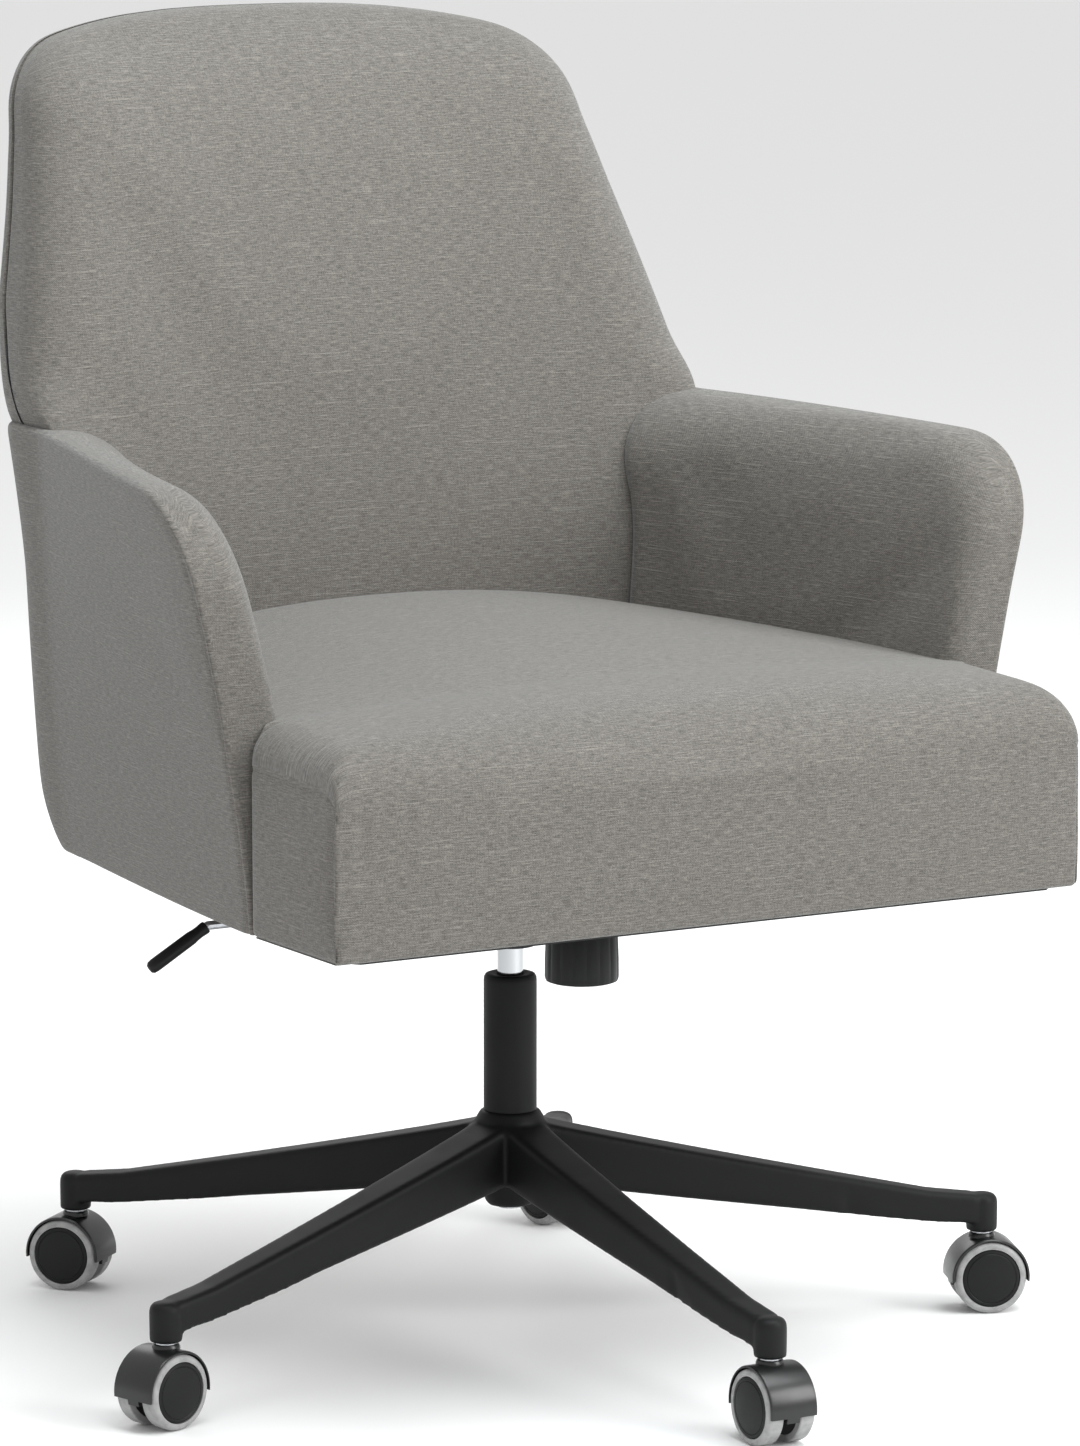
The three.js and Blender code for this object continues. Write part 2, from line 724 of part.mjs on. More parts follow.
function leverRod() {
  const inner = V(4, leverY(4), leverZ(4));
  const elbow = new THREE.SphereGeometry(LEVER_RADIUS + 0.05, 10, 8);
  elbow.translate(gripRoot.x, gripRoot.y, gripRoot.z);
  const tail = gripRoot.clone().addScaledVector(gripAxis, GRIP_LENGTH * 0.6);
  const hub = alongY(rod(5.5, -pivotEar + 1, pivotEar - 1, 12));
  hub.translate(LEVER_PIVOT_X, leverY(LEVER_PIVOT_X), leverZ(LEVER_PIVOT_X));
  const bore = alongY(rod(LEVER_PIN_RADIUS + GAP, -20, 20, 12));
  bore.translate(LEVER_PIVOT_X, leverY(LEVER_PIVOT_X), leverZ(LEVER_PIVOT_X));
  const bars = [bar(inner, gripRoot, LEVER_RADIUS), bar(gripRoot, tail, LEVER_RADIUS)];
  return cut(join(...bars, elbow, hub), bore);
}

function leverGrip() {
  const start = gripRoot.clone().addScaledVector(gripAxis, 5);
  const turn = new THREE.Quaternion().setFromUnitVectors(V(0, 0, 1), gripAxis);
  const shell = turned(
    [
      [LEVER_RADIUS + GAP, 0],
      [GRIP_RADIUS - 0.8, 0],
      [GRIP_RADIUS, GRIP_LENGTH * 0.6],
      [GRIP_RADIUS, GRIP_LENGTH - 4],
      [GRIP_RADIUS - 2, GRIP_LENGTH],
      [0, GRIP_LENGTH],
      [0, GRIP_LENGTH * 0.7],
      [LEVER_RADIUS + GAP, GRIP_LENGTH * 0.7],
      [LEVER_RADIUS + GAP, 0],
    ],
    14,
  );
  return shell.applyQuaternion(turn).translate(start.x, start.y, start.z);
}

place(chair, "release_lever_rod", leverRod(), STEEL);
place(chair, "release_lever_grip", leverGrip(), BLACK_PLASTIC);
place(
  chair,
  "lever_pin",
  alongY(rod(LEVER_PIN_RADIUS, -pivotEar - 4, pivotEar + 4, 12)).translate(
    LEVER_PIVOT_X,
    leverY(LEVER_PIVOT_X),
    leverZ(LEVER_PIVOT_X),
  ),
  STEEL,
);

// ---------------------------------------------------------------- tub surfaces
const armSpan = BACK_REAR - BACK_THICKNESS - SEAT_SHOULDER;
const rise = (z) => clamp((z - SEAT_BOTTOM) / (ARM_TOP - SEAT_BOTTOM), 0, 1);

// Outer face of an arm: it leans out as it rises and splays towards the front.
function armOuter(y, z) {
  const along = clamp((y - SEAT_SHOULDER) / armSpan, 0, 1);
  const front = SEAT_WIDTH / 2 + ARM_FLARE * rise(z) ** 1.7;
  const rear = SEAT_WIDTH / 2 - 38 + 22 * rise(z) ** 0.6;
  return lerp(front, rear, along ** 1.25);
}

function armInner(y, z) {
  const along = clamp((y - SEAT_SHOULDER) / armSpan, 0, 1);
  return armOuter(y, z) - ARM_THICKNESS - 36 * along ** 2.2;
}

const recline = (z) =>
  RECLINE_RUN * (Math.max(z - RECLINE_START, 0) / (BACK_TOP - RECLINE_START)) ** 1.45;
const backRear = (z) =>
  BACK_REAR + recline(z) - 22 * clamp((SEAT_BOTTOM + 55 - z) / 55, 0, 1) ** 2;
const backDepth = (z) => {
  const share = clamp((z - RECLINE_START) / (BACK_TOP - RECLINE_START), 0, 1);
  return lerp(BACK_THICKNESS, BACK_TOP_THICKNESS, share);
};

// Half the width of the back, seen from the front: tapered, with round top corners and an arched top.
function backHalf(z) {
  const shoulder = BACK_TOP - 26 - BACK_CORNER;
  const side = (height) => lerp(272, 216, clamp((height - 645) / 245, 0, 1));
  const foot = lerp(SEAT_WIDTH / 2 - 38, 272, rise(z) ** 0.6);
  if (z < ARM_TOP) return foot;
  if (z < shoulder) return side(z);
  const corner = Math.min((z - shoulder) / BACK_CORNER, 1);
  const turned = side(shoulder) - 6 - BACK_CORNER * (1 - Math.sqrt(1 - corner ** 2));
  const archFoot = shoulder + BACK_CORNER * 0.8;
  const arch = clamp((z - archFoot) / (BACK_TOP - archFoot), 0, 1);
  return turned * Math.sqrt(1 - 0.85 * arch ** 1.6);
}

// Depth of the back at a share of its thickness, 0 at the front face and 1 at the rear.
function backFace(x, z, share) {
  const across = Math.min(Math.abs(x) / backHalf(z), 1);
  const topRound = clamp((z - (BACK_TOP - 34)) / 34, 0, 0.97);
  const edge = Math.sqrt(Math.max(1 - across ** 7, 0.06));
  const depth = backDepth(z) * Math.sqrt(1 - topRound ** 2) * edge;
  const middle = backRear(z) - backDepth(z) / 2;
  return middle + (share - 0.5) * depth - BACK_WRAP * across ** 2.4 * (1 - 0.55 * share);
}

const backStations = [0.25, 0.6, 0.86];

// One level of the back between two shares of its thickness.
function backRing(z, near, far, grow = 0) {
  const half = backHalf(z);
  const right = [...backStations, 0.96, 1];
  const across = [...right.map((share) => -share).reverse(), ...right];
  const at = (share, depth, out) =>
    V(share * (half + grow), backFace(share * half, z, depth) + out, z);
  const front = across.map((share) => at(share, near, -grow));
  const rear = across.map((share) => at(share, far, grow));
  return [...front, ...rear.reverse()];
}

const footLevels = [SEAT_BOTTOM + 25, SEAT_BOTTOM + 60];
const backLevels = [
  SEAT_BOTTOM,
  ...footLevels,
  470,
  RECLINE_START,
  600,
  ARM_TOP,
  lerp(ARM_TOP, BACK_TOP - 88, 0.318),
  lerp(ARM_TOP, BACK_TOP - 88, 0.677),
  BACK_TOP - 88,
  BACK_TOP - 55,
  BACK_TOP - 30,
  BACK_TOP - 13,
  BACK_TOP - 4,
  BACK_TOP,
];
const outsideShare = 1 - OUTSIDE_PADDING / BACK_THICKNESS;
const backSolid = (near, far, grow = 0) =>
  loft(backLevels.map((z) => backRing(z, near, far, grow)));

// ---------------------------------------------------------------- frame inside the tub
const frameFoot = SEAT_BOTTOM + GAP;

// The panel stands FRAME_STANDOFF in front of the outside back; a pocket for it runs out rearwards.
function framePanel(grow, runOut) {
  const top = BACK_TOP - FRAME_TOP_MARGIN;
  const inner = [frameFoot, ...backLevels.filter((z) => z > frameFoot && z < top), top];
  const levels = grow ? [frameFoot - CUT, ...inner, top + grow] : inner;
  return loft(
    levels.map((z) => {
      const half = backHalf(z);
      const rim = (half - FRAME_MARGIN + grow) / half;
      const across = [-rim, ...backStations.map((s) => -s).reverse(), ...backStations, rim];
      const rear = (s) => backFace(s * half, z, outsideShare) - FRAME_STANDOFF;
      const front = across.map((s) => V(s * half, rear(s) - FRAME_THICKNESS - grow, z));
      const back = across.map((s) => V(s * half, rear(s) + runOut, z));
      return [...front, ...back.reverse()];
    }),
  );
}

function frameArm(side, grow) {
  const top = ARM_TOP - 34;
  const inner = [frameFoot, 430, 520, 575, top];
  const levels = grow ? [frameFoot - CUT, ...inner, top + grow] : inner;
  return loft(
    levels.map((z) => {
      const corner = clamp((z - (top - 70)) / 70, 0, 0.98);
      const front = SEAT_SHOULDER + 24 + 60 * (1 - Math.sqrt(1 - corner ** 2)) - grow;
      const rear = backFace(SEAT_WIDTH / 2 - 56, z, outsideShare) - FRAME_STANDOFF - 1;
      const stations = steps(front, rear, 4);
      const tuck = (y) => 22 * clamp((y - SEAT_SHOULDER) / armSpan, 0, 1) ** 2;
      const x = (y, out) => side * (armOuter(y, z) - 21 - tuck(y) + out);
      const outer = stations.map((y) => V(x(y, grow), y, z));
      const inner = stations.map((y) => V(x(y, -FRAME_THICKNESS - grow), y, z));
      return [...outer, ...inner.reverse()];
    }),
  );
}

const shellFrame = (grow = 0, runOut = 0) =>
  join(framePanel(grow, runOut), frameArm(-1, grow), frameArm(1, grow));

// ---------------------------------------------------------------- arms
function armSolid(side) {
  const levels = [SEAT_BOTTOM, 400, 465, 520, 553, 585, 610, 628, 640, ARM_TOP];
  return loft(
    levels.map((z) => {
      const corner = clamp((z - (ARM_TOP - ARM_CORNER)) / ARM_CORNER, 0, 0.985);
      const front = SEAT_SHOULDER + GAP + ARM_CORNER * (1 - Math.sqrt(1 - corner ** 2));
      const rear = BACK_REAR - BACK_THICKNESS + 12;
      const crest = clamp((z - (ARM_TOP - 24)) / 24, 0, 0.96);
      const slim = (1 - Math.sqrt(1 - crest ** 2)) / 2;
      const stations = [0, 0.04, 0.12, 0.3, 0.5, 0.7, 0.85, 1].map((s) => lerp(front, rear, s));
      const inset = (y) => {
        const nose = clamp(1 - (y - front) / 22, 0, 1);
        return (1 - Math.sqrt(1 - (0.93 * nose) ** 2)) / 2 + slim;
      };
      const x = (y, share) => side * lerp(armOuter(y, z), armInner(y, z), share);
      const outer = stations.map((y) => V(x(y, Math.min(inset(y), 0.46)), y, z));
      const inner = stations.map((y) => V(x(y, Math.max(1 - inset(y), 0.54)), y, z));
      return [...outer, ...inner.reverse()];
    }),
  );
}

const framePocket = shellFrame(GAP, OUTSIDE_PADDING);
const backKeepOut = backSolid(0, 1, GAP);

place(chair, "shell_frame", shellFrame(), PLYWOOD);
const outsideBack = backSolid(outsideShare, 1, 0);
const outsideKeepOut = backSolid(outsideShare - 0.04, 1.1, GAP);
place(chair, "back_pad", cut(backSolid(0, 1, 0), framePocket, outsideKeepOut), FABRIC);
place(chair, "outside_back", outsideBack, FABRIC);
place(chair, "arm_pad_left", cut(armSolid(1), backKeepOut, framePocket), FABRIC);
place(chair, "arm_pad_right", cut(armSolid(-1), backKeepOut, framePocket), FABRIC);

// ---------------------------------------------------------------- seat
// Outline of the seat: a full-width front block, then narrower between the arms.
function seatOutline(inset) {
  const half = SEAT_WIDTH / 2 - inset;
  const neckFront = armInner(SEAT_SHOULDER, SEAT_BOTTOM) - GAP - 1 - inset * 0.6;
  const rear = BACK_REAR - BACK_THICKNESS - 3;
  const neck = (y) =>
    Math.min(neckFront, armInner(y, SEAT_BOTTOM) - GAP - 1 - inset * 0.6);
  const soft = Math.min(inset * 0.6, 40);
  const right = [
    [half * 0.45, SEAT_FRONT + inset * 0.7],
    [half - 10, SEAT_FRONT + inset * 0.7],
    [half, SEAT_FRONT + inset * 0.7 + 10],
    [half, (SEAT_FRONT + SEAT_SHOULDER) / 2],
    [half, SEAT_SHOULDER - GAP - inset * 0.2],
    [neckFront, SEAT_SHOULDER - GAP - inset * 0.2],
    ...[-100, -30, 40, 100].map((y) => [neck(y), y]),
    [neck(rear - soft), rear - soft],
  ];
  const left = right.map(([x, y]) => [-x, y]).reverse();
  return [...right, ...left];
}

function seatCushion() {
  const crown = SEAT_CROWN - SEAT_SEAM;
  const levels = [
    [SEAT_BOTTOM, 3],
    [SEAT_BOTTOM + 4, 0],
    [SEAT_SEAM, 0],
    [SEAT_SEAM + crown * 0.25, 14],
    [SEAT_SEAM + crown * 0.55, 44],
    [SEAT_SEAM + crown * 0.82, 95],
    [SEAT_CROWN, 145],
  ];
  const body = loft(levels.map(([z, inset]) => seatOutline(inset).map(([x, y]) => V(x, y, z))));
  return cut(body, boardBlank(GAP), backKeepOut);
}

const seatSlab = (inset, bottom, top) =>
  loft([bottom, top].map((z) => seatOutline(inset).map(([x, y]) => V(x, y, z))));

// The plywood board follows the seat's outline, inset by the upholstery.
function boardBlank(grow) {
  const bottom = SEAT_BOTTOM + (grow ? -CUT : GAP);
  return seatSlab(16 - grow, bottom, SEAT_BOTTOM + GAP + BOARD_THICKNESS + grow);
}

const boardKeepOut = backSolid(0, 1, 2 * GAP);

place(chair, "seat_cushion", seatCushion(), FABRIC);
place(chair, "seat_board", cut(boardBlank(0), boardKeepOut), PLYWOOD);
place(
  chair,
  "dust_cover",
  cut(seatSlab(10, coverBottom, coverBottom + COVER_THICKNESS), boardKeepOut),
  LINING,
);

export default chair;
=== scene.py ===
# %% [markdown]
# This notebook dresses an upholstered swivel chair. Its metal and plastic pieces, its pads and its joints
# were already modelled to size, so the first cell loads that model as a fixed frame. Everything made here is
# in metres and in the same place as the piece that it stands for. The box around the frame is kept, because
# the dressed chair has to stay the same size.
# %% Load the frame
import math

import bmesh
import bpy
from mathutils import Matrix, Vector


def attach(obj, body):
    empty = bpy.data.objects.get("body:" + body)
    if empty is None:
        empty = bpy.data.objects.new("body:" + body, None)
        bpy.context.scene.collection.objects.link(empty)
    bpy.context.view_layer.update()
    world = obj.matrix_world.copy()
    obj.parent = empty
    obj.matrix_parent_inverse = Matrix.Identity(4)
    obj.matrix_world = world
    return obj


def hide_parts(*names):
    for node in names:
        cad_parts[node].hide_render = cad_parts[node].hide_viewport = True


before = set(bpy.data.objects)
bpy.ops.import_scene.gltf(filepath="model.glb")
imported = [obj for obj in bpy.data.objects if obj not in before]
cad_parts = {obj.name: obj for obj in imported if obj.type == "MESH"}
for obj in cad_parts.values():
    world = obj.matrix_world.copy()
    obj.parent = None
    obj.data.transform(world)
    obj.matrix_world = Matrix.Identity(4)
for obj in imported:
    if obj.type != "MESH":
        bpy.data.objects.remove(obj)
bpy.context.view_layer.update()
scene = bpy.context.scene
MM = 0.001

# %% [markdown]
# The camera stands in front and to the sitter's right, a little above the seat, with a long lens so that
# the chair is hardly foreshortened. A small lens shift frames the chair without turning the camera.
# %% Camera
lens = bpy.data.cameras.new("studio_camera")
lens.lens = 176.64
lens.sensor_width = 36
lens.shift_x, lens.shift_y = 0.0206, 0.0085
lens.clip_end = 100
camera = bpy.data.objects.new("studio_camera", lens)
camera.location = (-2.4812, -4.2925, 1.2344)
aim = Vector((0, 0, 0.434)) - camera.location
camera.rotation_euler = aim.to_track_quat("-Z", "Y").to_euler()
scene.collection.objects.link(camera)
scene.camera = camera

# %% [markdown]
# A studio is a pale floor, an even pale surround and a few large soft lights. The big light overhead
# brightens the seat's deck, one to the right in front models the pads, and a weak one behind lights the rear.
# Area lights are used because their size sets how soft a shadow is.
# %% Studio
scene.view_settings.view_transform = "Standard"
surround = bpy.data.worlds.new("pale_surround")
surround.use_nodes = True
surround.node_tree.nodes["Background"].inputs["Color"].default_value = (1.0, 1.0, 1.0, 1)
surround.node_tree.nodes["Background"].inputs["Strength"].default_value = 0.80
scene.world = surround


def soft_light(name, place, size, watts, toward=(0, 0, 0.45), color=(1, 1, 1)):
    light = bpy.data.lights.new(name, "AREA")
    light.shape = "RECTANGLE"
    light.size, light.size_y = size
    light.energy = watts
    light.color = color
    lamp = bpy.data.objects.new(name, light)
    lamp.location = place
    lamp.rotation_euler = (Vector(toward) - lamp.location).to_track_quat("-Z", "Y").to_euler()
    scene.collection.objects.link(lamp)


soft_light("overhead", (0.3, -0.7, 3.0), (2.4, 2.4), 98, color=(0.95, 0.99, 1.0))
soft_light("right_front", (2.0, -2.9, 1.9), (1.6, 2.0), 84)
soft_light("behind", (0.9, 2.9, 1.9), (1.6, 1.6), 12)

floor_mesh = bpy.data.meshes.new("studio_floor")
bm = bmesh.new()
bmesh.ops.create_grid(bm, x_segments=1, y_segments=1, size=40)
bm.to_mesh(floor_mesh)
bm.free()
studio_floor = bpy.data.objects.new("studio_floor", floor_mesh)
scene.collection.objects.link(studio_floor)

# %% [markdown]
# Every finish starts the same way: a Principled shader whose plain numbers are set on its own sockets. A
# few helpers keep the node work short: one adds a node, one adds a noise that is stretched along an axis,
# and one turns a grey value into a bump.
# %% Helpers for finishes
def start_finish(name, color, roughness, **sockets):
    finish = bpy.data.materials.new(name)
    finish.use_nodes = True
    shader = finish.node_tree.nodes["Principled BSDF"]
    shader.inputs["Base Color"].default_value = (*color, 1)
    shader.inputs["Roughness"].default_value = roughness
    for socket, value in sockets.items():
        shader.inputs[socket.replace("_", " ")].default_value = value
    finish.diffuse_color = (*color, 1)
    return finish, shader


def add_node(finish, kind, inputs=None, **settings):
    made = finish.node_tree.nodes.new("ShaderNode" + kind)
    for key, value in settings.items():
        setattr(made, key, value)
    for key, value in (inputs or {}).items():
        if isinstance(value, bpy.types.NodeSocket):
            finish.node_tree.links.new(value, made.inputs[key])
        else:
            made.inputs[key].default_value = value
    return made


def math_node(finish, operation, a, b=0.0):
    return add_node(finish, "Math", {0: a, 1: b}, operation=operation).outputs[0]


def streaks(finish, where, across, along, detail=2.0):
    scaled = add_node(finish, "Mapping", {"Vector": where, "Scale": (across, along, 1)})
    inputs = {"Vector": scaled.outputs[0], "Scale": 1.0, "Detail": detail}
    return add_node(finish, "TexNoise", inputs, noise_dimensions="2D").outputs["Fac"]


def grain(finish, scale, detail=3.0):
    where = add_node(finish, "TexCoord").outputs["Object"]
    return add_node(finish, "TexNoise", {"Vector": where, "Scale": scale, "Detail": detail}).outputs["Fac"]


def ramp(finish, value, stops):
    made = add_node(finish, "ValToRGB", {"Fac": value})
    marks = made.color_ramp.elements
    for mark, (position, color) in zip(list(marks), (stops[0], stops[-1])):
        mark.position, mark.color = position, (*color, 1)
    for position, color in stops[1:-1]:
        marks.new(position).color = (*color, 1)
    return made.outputs["Color"]


def bump(finish, shader, height, distance, strength=1.0, over=None):
    inputs = {"Height": height, "Distance": distance, "Strength": strength}
    if over:
        inputs["Normal"] = over
    made = add_node(finish, "Bump", inputs)
    finish.node_tree.links.new(made.outputs[0], shader.inputs["Normal"])
    return made.outputs[0]


# %% [markdown]
# The cover is a linen-look cloth: a plain weave of uneven yarns, in warm grey, with thicker slubs that run
# across it. It could be one bump picture, but the yarns would blur close up, so the weave is worked out
# from each piece's own map, which is laid out in metres. Long thin noise gives each yarn its own tone,
# a product of two sines gives the over and under of the weave, and a cut-off noise gives the slubs.
# %% Linen cloth
YARN = 0.85 * MM


def linen_cloth(name):
    tone = (0.130, 0.1215, 0.1105)
    finish, shader = start_finish(name, tone, 0.95, Sheen_Weight=0.24, Sheen_Roughness=0.42)
    shader.inputs["Sheen Tint"].default_value = (0.90, 0.96, 1.0, 1)
    shader.inputs["Specular IOR Level"].default_value = 0.18
    where = add_node(finish, "UVMap", uv_map="Weave").outputs[0]
    weft = streaks(finish, where, 120, 1250, 2.5)
    warp = streaks(finish, where, 1300, 160, 2.0)
    fleck = streaks(finish, where, 700, 900, 1.0)
    slub = ramp(finish, streaks(finish, where, 16, 620, 1.0), [(0.64, (0, 0, 0)), (0.72, (1, 1, 1))])
    blend = math_node(finish, "MULTIPLY", weft, 0.5)
    blend = math_node(finish, "ADD", blend, math_node(finish, "MULTIPLY", warp, 0.22))
    blend = math_node(finish, "ADD", blend, math_node(finish, "MULTIPLY", fleck, 0.28))
    blend = math_node(finish, "ADD", blend, math_node(finish, "MULTIPLY", slub, 0.09))
    dark = [value * 0.60 for value in tone]
    pale = [value * 1.52 for value in tone]
    color = ramp(finish, blend, [(0.33, dark), (0.5, tone), (0.68, pale)])
    finish.node_tree.links.new(color, shader.inputs["Base Color"])
    split = add_node(finish, "SeparateXYZ", {"Vector": where})
    over = math_node(finish, "SINE", math_node(finish, "MULTIPLY", split.outputs[0], math.pi / YARN))
    under = math_node(finish, "SINE", math_node(finish, "MULTIPLY", split.outputs[1], math.pi / YARN))
    weave = math_node(finish, "MULTIPLY", over, under)
    height = math_node(finish, "ADD", math_node(finish, "MULTIPLY", weave, 0.35), blend)
    first = bump(finish, shader, height, 0.35 * MM, 0.75)
    bump(finish, shader, slub, 0.3 * MM, 0.5, over=first)
    return finish


linen = linen_cloth("warm_grey_linen")

# %% [markdown]
# The base and the gas lift's sleeve are powder coated: satin black with a very fine orange-peel. The
# wheel discs, the knob and the grip are moulded plastic with a finely spark-eroded skin, and the caster
# hoods are a glossier one. Chrome is nearly a mirror with faint wipe marks, and the hidden steel is zinc
# plated. One helper lets a finish's gloss wander, since no real surface is evenly smooth.
# %% Metal and plastic
def uneven_gloss(finish, shader, scale, low, high):
    """Lets the roughness wander a little over a piece."""
    limits = {"Value": grain(finish, scale), "To Min": low, "To Max": high}
    finish.node_tree.links.new(add_node(finish, "MapRange", limits).outputs[0], shader.inputs["Roughness"])


PAINT, PLASTIC = (0.0085, 0.0086, 0.0089), (0.0075, 0.0077, 0.0078)
powder_black, shader = start_finish("satin_black_powder_coat", PAINT, 0.52, Specular_IOR_Level=0.16)
bump(powder_black, shader, grain(powder_black, 900, 2), 0.05 * MM, 0.5)
uneven_gloss(powder_black, shader, 35, 0.47, 0.58)

moulded_black, shader = start_finish("moulded_black_plastic", PLASTIC, 0.48, Specular_IOR_Level=0.2)
bump(moulded_black, shader, grain(moulded_black, 2600, 1), 0.03 * MM, 0.45)
uneven_gloss(moulded_black, shader, 120, 0.36, 0.5)

glossy_black, shader = start_finish("glossy_black_plastic", PLASTIC, 0.3, Specular_IOR_Level=0.5)
bump(glossy_black, shader, grain(glossy_black, 1800, 1), 0.02 * MM, 0.4)
uneven_gloss(glossy_black, shader, 90, 0.24, 0.36)

soft_grey, shader = start_finish("soft_grey_tread", (0.27, 0.27, 0.267), 0.55)
bump(soft_grey, shader, grain(soft_grey, 1500, 2), 0.04 * MM, 0.4)
scuffs = ramp(soft_grey, grain(soft_grey, 160, 4), [(0.35, (0.23, 0.23, 0.228)), (0.62, (0.31, 0.31, 0.307))])
soft_grey.node_tree.links.new(scuffs, shader.inputs["Base Color"])

chrome, shader = start_finish("polished_chrome", (0.44, 0.45, 0.46), 0.12, Metallic=1.0)
uneven_gloss(chrome, shader, 60, 0.05, 0.14)

zinc, shader = start_finish("zinc_plated_steel", (0.46, 0.47, 0.49), 0.34, Metallic=1.0)
spangle = ramp(zinc, grain(zinc, 240, 4), [(0.3, (0.38, 0.39, 0.41)), (0.7, (0.54, 0.55, 0.57))])
zinc.node_tree.links.new(spangle, shader.inputs["Base Color"])
bump(zinc, shader, grain(zinc, 800, 2), 0.03 * MM, 0.4)

birch_ply, shader = start_finish("birch_plywood", (0.52, 0.36, 0.19), 0.7)
layers = {"Scale": 90.0, "Distortion": 6.0, "Vector": add_node(birch_ply, "TexCoord").outputs["Object"]}
rings = add_node(birch_ply, "TexWave", layers, bands_direction="Z")
plies = ramp(birch_ply, rings.outputs["Fac"], [(0.2, (0.42, 0.27, 0.13)), (0.8, (0.60, 0.44, 0.26))])
birch_ply.node_tree.links.new(plies, shader.inputs["Base Color"])

lining_cloth, shader = start_finish("black_lining", (0.02, 0.02, 0.021), 0.95, Sheen_Weight=0.1)
bump(lining_cloth, shader, grain(lining_cloth, 1400, 3), 0.2 * MM, 0.7)

acetal, shader = start_finish("black_acetal", (0.02, 0.02, 0.02), 0.36)
bump(acetal, shader, grain(acetal, 1800, 1), 0.02 * MM, 0.4)

floor_paint, shader = start_finish("pale_floor", (0.93, 0.93, 0.93), 0.8)
bump(floor_paint, shader, grain(floor_paint, 30, 2), 0.1 * MM, 0.2)
floor_mesh.materials.append(floor_paint)

# %% [markdown]
# Pieces that are already right keep their shape and only take a finish: these are the ones hidden inside
# the lift, the casters and the tub.
# %% Finishes for the pieces that stay
kept = {
    "guide_bush": acetal,
    "thrust_bearing": zinc,
    "piston_rod": zinc,
    "retaining_clip": zinc,
    "release_button": zinc,
    "tilt_bracket": powder_black,
    "tilt_pin": zinc,
    "tension_bolt": zinc,
    "lever_pin": zinc,
    "tension_spring": zinc,
    "seat_plate": powder_black,
    "seat_board": birch_ply,
    "shell_frame": birch_ply,
    "dust_cover": lining_cloth,
    "release_lever_rod": zinc,
}
for i in range(1, 6):
    kept[f"caster_{i}_stem"] = kept[f"caster_{i}_axle"] = zinc
for name, finish in kept.items():
    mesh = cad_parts[name].data
    mesh.materials.clear()
    mesh.materials.append(finish)


# %% [markdown]
# Every new piece ends the same way: its mesh goes into the scene, rides on a body, takes a finish and
# stands for the plainer piece of the frame. Softened edges come from a Bevel modifier.
# %% Helper that puts a piece in place
def put(bm, name, body, finish, stands_for=(), soften=0.0, rounds=2, subdivide=0, smooth=40):
    bmesh.ops.recalc_face_normals(bm, faces=bm.faces)
    mesh = bpy.data.meshes.new(name)
    bm.to_mesh(mesh)
    bm.free()
    mesh.shade_smooth()
    if smooth < 180:
        mesh.set_sharp_from_angle(angle=math.radians(smooth))
    piece = bpy.data.objects.new(name, mesh)
    scene.collection.objects.link(piece)
    mesh.materials.append(finish)
    if soften:
        edge = piece.modifiers.new("softened_edges", "BEVEL")
        edge.width = soften
        edge.segments = rounds
        edge.limit_method = "ANGLE"
        edge.angle_limit = math.radians(34)
        edge.harden_normals = True
    if subdivide:
        fine = piece.modifiers.new("fine_skin", "SUBSURF")
        fine.levels = fine.render_levels = subdivide
    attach(piece, body)
    if stands_for:
        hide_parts(*stands_for)
    print(name, "rides on", body, "and has", len(mesh.polygons), "faces")
    return piece


def turned(bm, profile, steps=64, centre=(0, 0, 0), axis=(0, 0, 1), reference=(1, 0, 0)):
    """Spins a row of (radius, height) pairs, in millimetres, round an axis."""
    centre, axis, out = Vector(centre), Vector(axis).normalized(), Vector(reference)
    out = (out - axis * out.dot(axis)).normalized()
    row = [bm.verts.new(centre + (out * r + axis * h) * MM) for r, h in profile]
    edges = [bm.edges.new(pair) for pair in zip(row, row[1:])]
    bmesh.ops.spin(bm, geom=row + edges, cent=centre, axis=axis, angle=2 * math.pi, steps=steps, use_merge=True)
    bmesh.ops.remove_doubles(bm, verts=bm.verts, dist=1e-6)


# %% [markdown]
# The base is one casting: five arms, deep at the hub and slim at the casters, that flow into the hub with
# soft fillets. Joining separate bars leaves hard creases, so the bars, hub and bosses are put together
# as plain shapes, and a voxel remesh melts them into one skin that is then smoothed.
# %% Five-arm base
BASE_RADIUS, HUB_TOP, BOSS_BOTTOM, BOSS_TOP = 350, 164, 58.5, 86.5
ARM_WIDTHS, ARM_DEPTHS, RIDGE_BEVEL = (37, 23), (46, 21), 4.5


